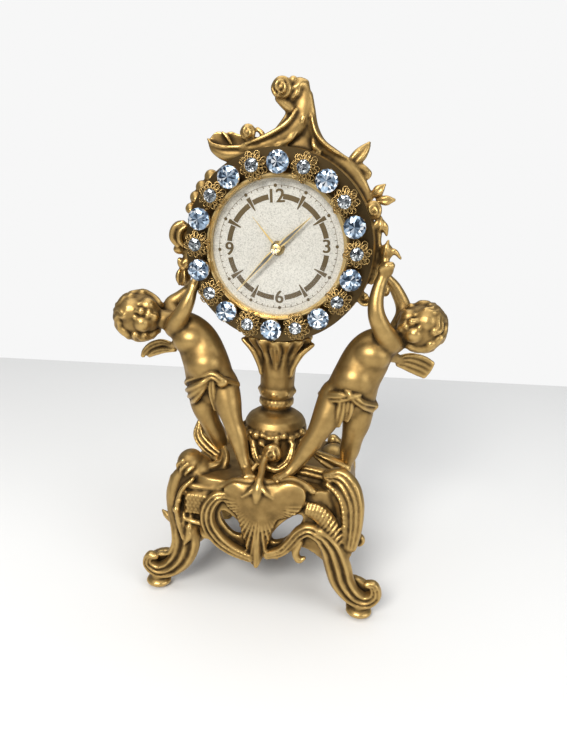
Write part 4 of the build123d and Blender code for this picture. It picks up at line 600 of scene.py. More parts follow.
class ClockSettings(bpy.types.PropertyGroup):
    """Sizes and colours that drive the looks."""

    voxel: bpy.props.FloatProperty(
        name="Casting grain",
        description="Finest detail of the castings, in millimetres",
        default=0.42,
        min=0.2,
        max=2.0,
    )
    stone_circle: bpy.props.FloatProperty(
        name="Stone circle", description="Radius of the ring of stones", default=0.0264, unit="LENGTH"
    )
    stone_radius: bpy.props.FloatProperty(
        name="Large stone", description="Radius of a large stone", default=0.0035, unit="LENGTH"
    )
    small_radius: bpy.props.FloatProperty(
        name="Small stone", description="Radius of a small stone", default=0.0021, unit="LENGTH"
    )
    dial_turn: bpy.props.FloatProperty(
        name="Dial turn",
        description="Turn of the dial, counterclockwise",
        default=math.radians(4.5),
        subtype="ANGLE",
    )
    gilt_colour: bpy.props.FloatVectorProperty(
        name="Gilding",
        description="Colour of the gilding on its ridges",
        default=(0.52, 0.345, 0.125),
        min=0.0,
        max=1.0,
        subtype="COLOR",
    )
    # The two stone colours below are each stone's tint at the bright end of its painted glints
    stone_colour: bpy.props.FloatVectorProperty(
        name="Large stones",
        description="Colour of a large stone's bright facets",
        default=(0.36, 0.48, 0.62),
        min=0.0,
        max=1.0,
        subtype="COLOR",
    )
    small_colour: bpy.props.FloatVectorProperty(
        name="Small stones",
        description="Colour of a small stone's bright facets",
        default=(0.32, 0.36, 0.38),
        min=0.0,
        max=1.0,
        subtype="COLOR",
    )
    dial_colour: bpy.props.FloatVectorProperty(
        name="Dial",
        description="Colour of the silvered dial",
        default=(0.56, 0.545, 0.49),
        min=0.0,
        max=1.0,
        subtype="COLOR",
    )
    light: bpy.props.FloatProperty(
        name="Light", description="Strength of the soft studio light", default=1.0, min=0.0, max=10.0
    )


def settings():
    """The scene's sizes and colours."""
    return bpy.context.scene.clock_settings


class ClockOperator:
    """What every step of the clock shares."""

    bl_options = {"REGISTER", "UNDO"}


# Castings


class CLOCK_OT_base(ClockOperator, bpy.types.Operator):
    """Scrolled base with its feet"""

    bl_idname = "clock.base"
    bl_label = "Base"

    def execute(self, context):
        pieces = [base_body()]
        pieces += base_scrolls()
        pieces += base_shell()
        pieces += base_shield()
        pieces += base_panel()
        pieces += base_ground()
        pieces += base_feet()
        piece = cast("base", pieces, settings().voxel, smoothing=3)
        placed(piece, "case", "gilt", finish_of("gilt"), "base_casting")
        return {"FINISHED"}


def base_body():
    """The hollow casting of the frame, drawn in at its sides, set back at its front and pierced wide."""
    foot_top = 16.0
    wall_front = -25.0
    foot_front = -25.6
    drawn_start = 9.0
    drawn_height = 9.0
    drawn_share = 0.12
    openings = (
        ((-10.4, -25.0, 28.2), (5.8, 9.0, 2.4), 52.6),
        ((9.9, -25.0, 28.9), (8.0, 9.0, 2.7), -48.8),
    )
    only(frame["nodes"]["base_casting"])
    bpy.ops.object.duplicate()
    body = bpy.context.active_object
    for vertex in body.data.vertices:
        x, y, z = vertex.co / MM
        drawn = min(max((z - drawn_start) / drawn_height, 0.0), 1.0)
        front = wall_front if z > foot_top else foot_front
        vertex.co = Vector((x * (1.0 - drawn_share * drawn), max(y, front), z)) * MM
    for spot, radii, tilt in openings:
        cutter = ball(spot, radii, turn=(0.0, tilt, 0.0), detail=32)
        modified(body, "BOOLEAN", operation="DIFFERENCE", object=cutter, solver="EXACT")
        bpy.data.objects.remove(cutter)
    return body


def base_scrolls():
    """Corner scrolls, the left edge and the scrolls beside the shield."""
    return [
        band([
            (-27.6, -24.0, 29.0, 8.0, 5), (-27.2, -25.2, 23.6, 9.6, 5.4),
            (-26.6, -26.0, 18.2, 10.0, 5.4), (-28.4, -26.8, 12.4, 9.0, 5.4),
            (-32.4, -27.4, 8.0, 7.4, 5.2), (-37.0, -27.8, 6.6, 6.0, 5),
            (-40.6, -27.8, 9.0, 4.4, 4.6), (-40.0, -27.8, 12.2, 3.2, 4),
            (-37.6, -27.8, 12.2, 2.2, 3.4),
        ], ribs=3, groove=0.5),
        band([
            (21.8, -26.0, 30.0, 5.6, 5), (26.2, -26.6, 25.0, 8.0, 5.2), (28.9, -27.0, 18.6, 9.4, 5.4),
            (31.0, -27.4, 12.8, 8.8, 5.4), (34.8, -27.8, 8.2, 7.2, 5.2), (39.4, -28.0, 6.8, 6.0, 5),
            (42.7, -28.0, 9.6, 4.6, 4.6), (42.0, -28.0, 13.4, 3.4, 4), (39.4, -28.0, 13.8, 2.2, 3.4),
        ], ribs=3, groove=0.5),
        band([
            (-29.4, -19.4, 45.0, 4.0, 5), (-32.0, -20.6, 41.0, 5, 5), (-32.6, -22.0, 35.6, 5, 5),
            (-31.6, -23.4, 29.6, 5, 5), (-29.8, -24.8, 23.6, 4, 5),
        ]),
        band([
            (-33.8, -20.4, 42.0, 1.4, 3), (-34.6, -21.6, 36.0, 2.0, 3.2),
            (-33.6, -23.2, 29.4, 2.0, 3.4), (-31.6, -25.2, 23.2, 2.0, 3.4),
            (-31.0, -26.8, 18.2, 2.0, 3.2), (-32.8, -27.8, 14.6, 1.6, 2.6),
            (-36.6, -28.2, 13.8, 1.2, 2.2),
        ]),
        band([
            (-25.1, -22.8, 43.0, 1.4, 2.4), (-28.8, -24.2, 38.7, 1.9, 3.0),
            (-30.2, -25.4, 32.0, 1.9, 3.0), (-29.0, -26.4, 26.4, 1.8, 3.0),
            (-27.0, -27.6, 21.4, 1.4, 2.6),
        ]),
        band([
            (-32.6, -22.4, 24.8, 3.4, 3), (-35.6, -21.6, 26.2, 2.6, 2.6),
            (-37.6, -20.8, 27.4, 1.0, 1.2),
        ]),
        band([
            (-11.2, -24.6, 39.0, 3.0, 3.2), (-15.6, -25.2, 38.2, 4.6, 4.4),
            (-18.4, -25.8, 33.6, 5.4, 4.8), (-18.2, -26, 27.8, 5.6, 4.8),
            (-14.8, -26, 22.4, 5.4, 4.6), (-9.4, -26, 18.6, 4.6, 4.4),
            (-2.6, -26.2, 16.4, 3.4, 4),
        ], ribs=3, groove=0.5),
        band([
            (-20.6, -25.4, 25.0, 2.0, 2.6), (-19.4, -26.6, 23.4, 2.6, 2.8),
            (-17.4, -26.8, 22.6, 1.2, 1.8),
        ]),
        band([
            (3.6, -26.2, 18.4, 3.2, 3.6), (8.7, -26, 20.8, 4.0, 4), (12.2, -26, 25.2, 4.4, 4.4),
            (14.8, -26, 29.0, 4.8, 4.6), (18.2, -26, 30.8, 5.2, 4.8), (22.4, -26.2, 29.0, 5.4, 5),
        ], ribs=3, groove=0.5),
        band([
            (15.2, -26.2, 25.6, 2.4, 3), (13.9, -26.6, 21.4, 2.8, 3.2),
            (15.2, -26.8, 18.6, 2.4, 3), (17.0, -26.6, 19.6, 1.4, 2.2),
        ]),
    ]


def base_shell():
    """Ribbed shell at the right with its beads, fan and curl."""
    pieces = [band([
        (22.6, -18.4, 48.2, 4.0, 5), (26.6, -19.4, 48.6, 7.4, 5.4), (29.9, -21.0, 46.0, 8.6, 5.6),
        (32.3, -22.6, 41.4, 7.6, 5.6), (33.0, -23.8, 36.0, 6.8, 5.4), (33.0, -24.8, 31.0, 6.0, 5),
        (32.6, -25.6, 26.4, 5.0, 4.6),
    ], ribs=4, groove=0.32)]
    pieces.append(band([
        (23.6, -17.8, 45.0, 8, 5), (28.8, -20.2, 42.8, 10, 5), (31.0, -22.2, 36.4, 9, 5),
        (30.6, -24, 29.6, 7, 4.4), (30.4, -25.4, 23, 6, 4.4),
    ]))
    bead_line = (
        (23.0, -21.6, 46.6), (26.2, -22.6, 44.4), (28.4, -23.8, 41.4),
        (29.6, -24.9, 36.8), (30.2, -25.6, 32.0), (30.2, -26.2, 28.0),
    )
    for spot in flowing(bead_line, 3):
        pieces.append(ball(spot, (1.1, 1.2, 0.85), turn=(0.0, 40.0, 0.0), detail=10))
    pieces.append(band([
        (16.8, -23.8, 38.8, 3.6, 3), (20.6, -24.1, 37.9, 5.2, 3), (24.0, -24.6, 34.8, 5.6, 3),
        (26.8, -25.2, 30.6, 5.0, 3), (28.6, -25.8, 27.2, 3.6, 3),
    ]))
    inner = flowing(((16.5, 36.9), (19.4, 35.4), (21.9, 33.1), (24.4, 29.6), (27.0, 25.4)), 3)
    outer = flowing(((17.1, 40.8), (20.9, 40.4), (24.4, 38.0), (27.6, 34.0), (30.2, 29.2)), 3)
    for (low_x, low_z), (high_x, high_z) in zip(inner, outer):
        pieces.append(band([
            (low_x, -25.9, low_z, 0.8, 2.2),
            ((low_x + high_x) / 2, -26.7, (low_z + high_z) / 2, 1.15, 2.6),
            (high_x, -25.6, high_z, 0.8, 2.2),
        ], steps=4))
    pieces += volute((35.0, -23.0, 27.3), 2.4, 1.2, 1.7, 2.8, start=120, sense=-1)
    return pieces


def base_shield():
    """A broad smooth shield with a ruffled lower edge that runs down into a pointed leaf."""
    outline = (
        (-13.0, 42.4), (-9.4, 44.8), (-4.4, 44.8), (0.9, 45.0), (5.5, 46.0), (10.1, 47.2),
        (14.2, 46.2), (16.0, 43.6), (15.6, 39.4), (13.0, 35.9), (9.6, 34.0), (6.6, 32.5),
        (5.5, 29.6), (4.4, 25.1), (2.7, 18.9), (0.2, 12.4), (-1.4, 12.4), (-3.2, 17.0),
        (-5.0, 23.0), (-6.4, 26.8), (-7.4, 30.6), (-8.6, 33.2), (-10.8, 35.0), (-12.8, 37.8),
    )
    shield = plate(outline, (0.5, 39.0), -25.6, 3.4, 2.2, ridges=52, depth=1.2)
    return [
        shield,
        band([(-0.6, -26.6, 33.0, 1.0, 1.6), (-0.4, -27.2, 24.0, 1.7, 2.2), (-0.6, -26.8, 13.0, 0.8, 1.2)]),
    ]


def base_panel():
    """A small stippled panel with a ridge and a leaf under it."""
    outline = ((-27.4, 38.4), (-22.6, 39.0), (-17.9, 38.6), (-19.4, 31.0), (-23.6, 30.4), (-27.8, 30.4))
    first_x = -26.6
    first_z = 31.4
    across = 1.45
    up = 1.3
    shift = 0.6
    pieces = [plate(outline, (-22.9, 34.6), -24.9, 2.8, 0.4)]
    for row in range(6):
        for column in range(6):
            spot = (first_x + across * column + shift * (row % 2), -25.6, first_z + up * row)
            pieces.append(ball(spot, 0.72, detail=8))
    pieces += [
        ball((-29.6, -25.6, 35.2), 1.1, detail=12),
        ball((-30.4, -26.2, 31.7), 1.3, detail=12),
        band([(-19.4, -25.8, 27.0, 1.4, 2), (-23.6, -26.2, 28.0, 1.8, 2.4), (-27.2, -25.8, 28.4, 1.4, 2)]),
        ball((-25.2, -27.0, 25.6), (1.3, 1.2, 1.5), detail=12),
        band([
            (-25.4, -27.2, 24.8, 1.8, 2), (-25.2, -27.8, 22.4, 2.6, 2.2),
            (-26.6, -28.4, 19.4, 1.0, 1.4),
        ]),
    ]
    return pieces


def base_ground():
    """Rolled shoulders and the uneven ground round the figures' feet."""
    pieces = [ball((-28.2, -16.4, 46.4), (4.8, 5.8, 4.7), detail=24)]
    pieces += [
        band([
            (-31.6, -19.8, 44.6, 1.2, 1.8), (-31.4, -20.8, 47.0, 1.6, 2.0),
            (-29.4, -21.0, 49.0, 1.4, 1.8),
        ]),
        band([
            (-30.0, -21.6, 44.4, 1.2, 1.8), (-29.4, -22.0, 46.4, 1.6, 2.0),
            (-27.4, -21.6, 48.2, 1.4, 1.8),
        ]),
        band([
            (-28.2, -21.8, 43.8, 1.0, 1.6), (-27.2, -22.0, 45.4, 1.4, 1.8),
            (-25.4, -21.0, 46.8, 1.0, 1.6),
        ]),
    ]
    deck_edges = (
        (
            (-26.3, -22.3, 40.0), (-18.4, -22.8, 40.2), (-13.3, -23.0, 42.2),
            (-9.6, -22.8, 44.2), (-4.0, -23.0, 45.0), (0.0, -23.0, 45.0),
        ),
        (
            (0.0, -23.0, 45.0), (5.4, -22.6, 45.4), (10.4, -21.8, 46.8),
            (15.0, -22.2, 45.6), (18.2, -22.6, 43.8),
        ),
    )
    for edge in deck_edges:
        pieces.append(band([(*spot, 2.6, 3.0) for spot in edge]))
    pieces += [
        band([
            (-24.4, -14, 44.4, 5, 3), (-21.0, -16, 43.8, 6, 3), (-17.4, -13, 45.0, 5, 3),
            (-17.0, -9.6, 47.5, 3.6, 3), (-18.6, -7, 50.0, 2, 2),
        ], ribs=2),
        band([
            (-28.8, -4, 57.6, 2.0, 2.2), (-28.6, -5, 52.6, 5.0, 4),
            (-25.0, -6.4, 49.0, 6, 4.4), (-20.4, -7.6, 46.4, 5, 4),
        ], ribs=3),
        band([(16.5, -7, 51.0, 3.0, 3.2), (22, -7, 48.4, 5.6, 4.6), (28, -6.4, 45.6, 6, 4)], ribs=2),
        band([
            (8.0, -13, 46.6, 4, 3), (14.6, -14, 46.4, 6, 3.4),
            (21.6, -15.4, 46.4, 6, 3.6), (26.4, -16, 47.4, 4, 3),
        ], ribs=3),
        band([
            (-0.2, -13.4, 51.6, 3.0, 3.0), (-0.9, -17.4, 49.4, 2.6, 2.6), (-0.6, -21.2, 47.6, 2.6, 2.6),
            (-0.6, -25.4, 45.6, 2.8, 2.6), (-0.7, -27.3, 42.6, 3.2, 2.0), (-0.8, -27.7, 39.6, 1.6, 1.0),
        ]),
        band([(-1.0, -24.6, 46.0, 1.4, 2.0), (-2.8, -26.8, 43.4, 1.7, 1.9), (-5.8, -27.4, 41.0, 0.9, 1.1)]),
        band([(-0.2, -24.6, 46.0, 1.4, 2.0), (1.8, -26.8, 43.8, 1.7, 1.9), (5.0, -27.4, 41.8, 0.9, 1.1)]),
        band([
            (-2.6, -15.0, 51.0, 1.4, 2), (0.2, -16.4, 48.0, 2.0, 2.4),
            (4.6, -16.4, 47.2, 2.0, 2.4), (7.8, -14.8, 49.8, 1.2, 1.8),
        ], ribs=2),
        band([(-3.4, -16.6, 48.4, 2.0, 2), (-6.0, -20, 45.4, 2.4, 2), (-9.4, -22, 44.4, 1.6, 1.6)]),
    ]
    return pieces


def base_feet():
    """Pads under the feet and plain scrolls at the back."""
    pieces = []
    for x, y in ((-37.0, -27.0), (37.6, -27.0), (-27.0, 27.0), (27.0, 27.0)):
        pieces.append(ball((x, y, 1.9), (4.7, 4.2, 1.9)))
        pieces.append(ball((x, y, 4.0), (3.0, 3.0, 2.4)))
    for flank in (-1, 1):
        pieces.append(band([
            (flank * 21, 20.0, 46, 5, 5), (flank * 27, 21.0, 38, 7, 5),
            (flank * 27, 22.5, 26, 7.5, 5), (flank * 27, 25.0, 12, 6, 5),
        ], facing=(0, 1, 0), ribs=3))
    return pieces


class CLOCK_OT_stem(ClockOperator, bpy.types.Operator):
    """Flared stem with its collar, ball, dome and rose"""

    bl_idname = "clock.stem"
    bl_label = "Stem"

    def execute(self, context):
        pieces = [self.turning()]
        pieces += self.collar()
        pieces += self.dome_leaves()
        pieces += self.rose_and_leaves()
        piece = cast("stem", pieces, settings().voxel)
        placed(piece, "case", "gilt", finish_of("gilt"), "pedestal_stem")
        return {"FINISHED"}

    def turning(self):
        """Dome, ball, collar and fluted flare, as rows of radius, height and flute share."""
        profile = [
            (0.6, 44.4, 0), (12.4, 44.4, 0), (12.2, 48.0, 0), (11.6, 52.0, 0),
            (12.0, 57.0, 0), (11.8, 58.6, 0), (11.4, 59.0, 0), (11.5, 59.8, 0),
            (10.4, 61.8, 0), (8.0, 63.5, 0), (5.6, 64.4, 0), (5.0, 65.2, 0),
            (5.6, 66.0, 0), (6.3, 67.0, 0), (6.3, 68.8, 0), (5.7, 69.6, 0),
            (6.4, 70.3, 0), (6.7, 71.2, 0), (6.7, 73.0, 0), (6.3, 73.8, 0),
            (6.4, 78.0, 0), (6.8, 81.4, 0.1), (7.8, 85.0, 0.5), (9.4, 88.2, 1),
            (12.2, 91.8, 1), (12.4, 93.2, 0.6), (9.0, 93.6, 0), (0.6, 93.6, 0),
        ]
        return spun("stem", profile, flutes=14, depth=1.5)

    def collar(self):
        """Two rows of grains on the ball and long and short drops on the collar."""
        grains = 48
        grain_reach = 6.2
        grain_z = 67.4
        row_step = 1.1
        drops = 8
        drop_reach = 6.5
        drop_z = 72.1
        pieces = []
        for index in range(grains):
            angle = math.radians(360 * index / grains)
            z = grain_z + row_step * (index % 2)
            spot = (grain_reach * math.cos(angle), grain_reach * math.sin(angle), z)
            pieces.append(ball(spot, (0.55, 0.55, 0.6), detail=6))
        for index in range(drops):
            angle = math.radians(-90 + 360 / drops * index)
            long = 1.7 if index % 2 == 0 else 0.95
            spot = (drop_reach * math.cos(angle), drop_reach * math.sin(angle), drop_z)
            pieces.append(ball(spot, (0.9, long, 0.85), turn=(0.0, 0.0, math.degrees(angle)), detail=12))
        return pieces

    def dome_leaves(self):
        """An uneven row of small leaves round the front of the dome."""
        leaves = 13
        step = 13
        reach = 11.9
        upper_z = 57.6
        lower_z = 55.4
        pieces = []
        for index in range(leaves):
            angle = math.radians(-90 + step * (index - leaves // 2))
            x, y = reach * math.cos(angle), reach * math.sin(angle)
            lift = 0.5 * math.sin(4.1 * index)
            size = (1.5 + 0.3 * math.sin(2.3 * index), 1.4, 1.2 + 0.3 * math.cos(1.7 * index))
            pieces.append(ball((x, y, upper_z + lift), size, detail=12))
            if index % 2:
                spot = (x * 1.04, y * 1.04, lower_z - lift)
                pieces.append(ball(spot, (1.5, 1.3, 1.0), turn=(0.0, 30.0, 0.0), detail=12))
        return pieces

    def rose_and_leaves(self):
        """Rose and leaves before the dome, and the leaves that run up the flare."""
        pieces = rose((1.6, -13.2, 52.4), 3.8)
        for flank in (-1, 1):
            pieces.append(band([
                (flank * 2.4 + 1.4, -13.4, 46.4, 2.0, 2.4), (flank * 6.0 + 1.4, -12.4, 49.6, 2.8, 2.8),
                (flank * 7.6 + 1.0, -10.2, 55.0, 2.0, 2.4),
            ], ribs=2))
            pieces.append(band([
                (flank * 4.0 + 1.4, -13.0, 45.2, 1.6, 2.0), (flank * 8.4 + 1.0, -11.0, 47.6, 2.4, 2.4),
                (flank * 10.2 + 0.6, -8.0, 52.6, 1.8, 2.0),
            ]))
            pieces.append(band([
                (flank * 5.6, -3.6, 79.0, 1.4, 2.2), (flank * 6.4, -3.8, 82.6, 2.0, 2.8),
                (flank * 8.8, -3.6, 87.4, 2.4, 3.0), (flank * 12.6, -3.2, 91.0, 1.8, 2.6),
            ]))
            pieces.append(ball((flank * 3.0 + 0.6, -9.4, 92.2), 1.2, detail=12))
        pieces.append(band([
            (0.4, -6.4, 82.0, 1.2, 1.6), (0.4, -7.6, 85.6, 3.0, 2.2),
            (0.4, -9.6, 89.4, 4.4, 2.4), (0.4, -11.0, 92.0, 3.0, 2.0),
        ], ribs=3))
        return pieces


def unit(vector):
    """A direction of length one."""
    return np.array(vector, float) / np.linalg.norm(vector)


def head(centre, radius, ahead, crown):
    """A child's head: skull, features and soft locks that fall from the crown."""
    middle = np.array(centre, float)
    front = unit(ahead)
    top = unit(np.array(crown, float) - front * (front @ np.array(crown, float)))
    side = np.cross(front, top)
    pieces = [ball(centre, radius * 0.94, detail=28)]
    # Forward, up, aside and size of each feature, as shares of the head's radius
    features = (
        (0.32, -0.30, 0.0, 0.70),  # jaw
        (0.40, 0.32, 0.0, 0.62),  # brow
        (0.60, -0.26, 0.38, 0.40),  # cheeks
        (0.60, -0.26, -0.38, 0.40),
        (0.80, -0.64, 0.0, 0.23),  # chin
        (1.08, -0.10, 0.0, 0.17),  # tip and bridge of the nose
        (1.00, 0.08, 0.0, 0.13),
        (1.00, -0.40, 0.10, 0.11),  # lips
        (1.00, -0.40, -0.10, 0.11),
        (0.98, -0.50, 0.0, 0.12),
        (0.89, 0.07, 0.31, 0.10),  # eyelids
        (0.89, 0.07, -0.31, 0.10),
        (0.02, -0.12, 0.94, 0.22),  # ears
        (0.10, -0.02, 0.96, 0.15),
        (0.02, -0.12, -0.94, 0.22),
        (0.10, -0.02, -0.96, 0.15),
    )
    for forward, up, out, size in features:
        spot = middle + (front * forward + top * up + side * out) * radius
        pieces.append(ball(spot, radius * size, detail=14))
    # Each level of locks: its lean from the crown in degrees and its count
    levels = ((6, 1), (34, 5), (62, 8), (90, 9), (118, 8), (140, 6))
    for level, (tilt, count) in enumerate(levels):
        for index in range(count):
            turn = 2.0 * math.pi * (index + 0.5 * (level % 2)) / count
            away = front * math.cos(turn) + side * math.sin(turn)
            lean = math.radians(tilt)
            out = top * math.cos(lean) + away * math.sin(lean)
            over_face = out @ front > 0.5 or (out @ front > 0.1 and tilt > 80)
            if over_face:
                continue
            fall = away * math.cos(lean) - top * math.sin(lean)
            swing = 0.6 if (index + level) % 2 else -0.6
            fall = unit(fall + np.cross(out, fall) * swing)
            size = radius * (0.44 + 0.05 * math.sin(7.0 * index + 3.0 * level))
            pieces.append(lock(middle, radius, out, fall, size))
    return [flesh(pieces, settings().voxel * HEAD_GRAIN, rounds=3)]


def lock(middle, radius, out, fall, size):
    """One soft wavy lock that lies on a round head."""
    across = np.cross(out, fall)
    rows = []
    for along, wave, width in (
        (-1.1, 0.22, 0.7), (-0.4, -0.2, 1.2), (0.35, 0.2, 1.15),
        (0.95, -0.14, 0.8), (1.25, 0.1, 0.4),
    ):
        aim = unit(out + (fall * along + across * wave) * size / radius)
        rows.append((
            *(middle + aim * (radius * 0.95 + size * 0.1)), width * size, size * (0.45 + 0.35 * width),
        ))
    return band(rows, tuple(out), ribs=2, groove=0.45, steps=4)


def foot(heel, toe, size):
    """A foot with its toes in a row."""
    heel, toe = np.array(heel, float), np.array(toe, float)
    run = unit(toe - heel)
    across = np.cross(run, (0.0, 0.0, 1.0))
    pieces = [band([
        (*heel, size * 1.1, size * 1.2), (*((heel + toe) / 2), size * 1.15, size),
        (*toe, size * 1.2, size * 0.7),
    ], facing=(0, 0, 1))]
    for index in range(5):
        spot = toe + across * size * 0.24 * (index - 2) + run * size * (0.2 - 0.05 * abs(index - 1))
        pieces.append(ball(spot, size * (0.2 if index else 0.26), detail=10))
    return pieces


def hand(wrist, tip, size):
    """A small hand with curled fingers."""
    wrist, tip = np.array(wrist, float), np.array(tip, float)
    run = unit(tip - wrist)
    across = unit(np.cross(run, (0.0, 1.0, 0.0)))
    palm = (wrist + tip) / 2
    pieces = [ball(palm, (size * 0.62, size * 0.5, size * 0.66))]
    for index in range(4):
        start = palm + across * size * 0.26 * (index - 1.5) + run * size * 0.2
        end = start + run * size * 0.85 + np.array((0.0, -0.25 * size, 0.0))
        pieces.append(band([(*start, size * 0.3, size * 0.34), (*end, size * 0.2, size * 0.24)], steps=4))
    return pieces


class CLOCK_OT_left_child(ClockOperator, bpy.types.Operator):
    """Winged child on the left"""

    bl_idname = "clock.left_child"
    bl_label = "Left child"

    def execute(self, context):
        pieces = [flesh(self.body(), settings().voxel, rounds=SKIN_ROUNDS)]
        pieces += head((-50.7, -6.6, 97.4), 8.3, ahead=(0.34, -0.86, 0.38), crown=(-0.93, -0.22, 0.28))
        pieces += foot((-6.5, -18.4, 46.8), (-4.6, -22.6, 46.4), 3.4)
        pieces += foot((-19.3, -6.0, 46.0), (-21.0, -9.6, 45.4), 3.2)
        pieces += self.drapery()
        pieces += self.wing()
        piece = cast("left_child", pieces, settings().voxel * CHILD_GRAIN)
        placed(piece, "case", "gilt", finish_of("gilt"), "left_cherub")
        return {"FINISHED"}

    def body(self):
        """Trunk, neck, arms and legs, then the root of the wing and the hands."""
        pieces = [
            band([
                (-38.0, -7, 95.2, 8.4, 7.4), (-33.6, -7.4, 94.2, 13.0, 10.6),
                (-28.6, -8, 90.2, 15.6, 12.6), (-25.0, -8.8, 83.1, 16.8, 14.4),
                (-23.4, -8.4, 76.0, 17.6, 13.6), (-22.8, -8, 71.4, 14, 10.8),
            ]),
            ball((-24.6, -10.6, 82.4), (7.4, 6.6, 7.0), detail=28),
            ball((-30.2, -10.2, 90.8), (6.6, 5.2, 5.6), detail=28),
            band([(-36.4, -7.2, 95.6, 8.0, 7.6), (-42.0, -7, 96.8, 6.8, 7), (-47.0, -7, 97.4, 7.4, 7.6)]),
            band([
                (-36.4, -9.6, 94.4, 7.8, 7.4), (-34.4, -12.4, 97.6, 7.0, 6.6),
                (-31.7, -13.8, 101.4, 5.8, 5.6), (-29.8, -13.6, 105.4, 4.8, 4.8),
                (-28.9, -12.9, 108.2, 3.8, 3.9),
            ]),
            band([
                (-38.6, -3.4, 97.0, 7.0, 6.8), (-41.2, -0.2, 101.0, 5.8, 5.6),
                (-38.0, 1.0, 104.0, 4.8, 4.6), (-34.4, 1.2, 107.4, 3.8, 3.6),
            ]),
            band([
                (-18.2, -9.4, 76.0, 11.0, 11.0), (-15.9, -11.4, 69.6, 10.2, 10.4),
                (-13.3, -13.8, 63.2, 7.4, 7.8), (-11.0, -15.0, 58.0, 7.0, 7.4),
                (-8.7, -16.6, 51.4, 4.8, 5.2), (-6.8, -18.0, 46.8, 4.0, 4.4),
            ]),
            band([
                (-27.0, -6.4, 74.4, 11.2, 11.0), (-25.8, -7.8, 66.2, 10.0, 10.2),
                (-23.3, -8.0, 59.6, 7.4, 7.6), (-20.9, -6.8, 54.0, 6.9, 7.3),
                (-19.5, -5.8, 48.4, 4.6, 5.0), (-19.4, -6.2, 46.2, 4.0, 4.2),
            ]),
        ]
        pieces.append(band([
            (-35.4, -3.6, 89.4, 6.4, 5), (-39.4, -0.4, 86.4, 4.0, 3.0), (-43.6, 1.7, 84.0, 1.4, 0.9),
        ]))
        pieces += hand((-28.9, -12.9, 108.2), (-28.2, -11.8, 111.4), 3.4)
        pieces += hand((-34.4, 1.2, 107.4), (-32.4, 0.8, 109.8), 3.2)
        return pieces

    def drapery(self):
        """Cloth round the hips with its folds and a hanging end."""
        front_line = (
            (-32.4, -7.0, 73.6), (-29.2, -13.0, 76.4), (-23.6, -15.6, 79.0),
            (-20.1, -16.0, 80.2), (-16.6, -15.2, 78.2), (-13.2, -10.0, 75.6),
        )
        pieces = cloth(front_line, (-22.8, 76.0))
        pieces += [
            band([
                (-21.6, -16.2, 79.0, 1.6, 2), (-25.2, -16.4, 76.4, 2.4, 2.4),
                (-29.0, -13.8, 73.6, 2.6, 2.4), (-31.8, -9.6, 71.6, 1.8, 1.8),
            ]),
            band([
                (-22.4, -16.0, 77.6, 1.4, 2), (-25.4, -15.8, 74.4, 2.2, 2.4),
                (-28.6, -13.6, 71.4, 2.4, 2.4), (-31.0, -9.8, 69.4, 1.6, 1.8),
            ]),
            band([
                (-22.6, -15.8, 76.6, 1.2, 1.8), (-24.6, -15.4, 73.2, 2.0, 2.2),
                (-27.4, -13.6, 69.6, 2.2, 2.2), (-29.8, -10.4, 67.4, 1.4, 1.6),
            ]),
            ball((-24.2, -16.0, 77.0), (1.5, 1.2, 1.2), detail=12),
            ball((-16.8, -15.4, 77.8), (2.2, 1.6, 1.8), turn=(0, -30, 0)),
            band([
                (-20.4, -15.9, 79.6, 1.8, 1.8), (-20.7, -15.2, 73.7, 2.8, 1.9),
                (-20.0, -13.4, 66.4, 1.2, 1.0),
            ], ribs=2, groove=0.5),
        ]
        return pieces

    def wing(self):
        """Two feathers before a broad one."""
        upper_line = (
            (-40.4, 0.6, 85.0), (-45.5, 2.0, 85.8), (-50.2, 2.6, 84.1),
            (-53.2, 3.0, 81.4), (-54.3, 3.0, 79.2),
        )
        lower_line = ((-40.6, 0.4, 83.6), (-45.2, 1.8, 82.8), (-48.6, 2.2, 81.6), (-51.2, 2.6, 80.0))
        pieces = feather(upper_line, 2.5)
        pieces += feather(lower_line, 2.3)
        pieces.append(band([
            (-40.0, 0.8, 84.4, 3.4, 1.6), (-44.6, 2.4, 84.2, 5.0, 1.6),
            (-49.2, 3.2, 82.6, 5.4, 1.5), (-52.6, 3.4, 80.4, 4.0, 1.3),
        ], ribs=3))
        return pieces


def cloth(front, middle):
    """A twisted band of cloth that runs round the hips from its front line."""
    rows = [(*spot, 3.2, 2.8) for spot in front]
    first, last = front[0], front[-1]
    back = [
        (*first, 3.2, 2.8), ((first[0] + middle[0]) / 2, -1.6, middle[1], 3.6, 2.8),
        ((last[0] + middle[0]) / 2, -1.6, middle[1], 3.6, 2.8), (*last, 3.2, 2.8),
    ]
    return [band(rows, ribs=2, groove=0.5), band(back, facing=(0, 1, 0), ribs=2)]


def feather(spots, width):
    """One feather of a small wing, thick along its quill."""
    rows = []
    for index, spot in enumerate(spots):
        share = index / (len(spots) - 1)
        rows.append((*spot, width * (0.7 + 0.5 * math.sin(math.pi * share)), 1.8 - 0.6 * share))
    return [band(rows, ribs=2, groove=0.5)]


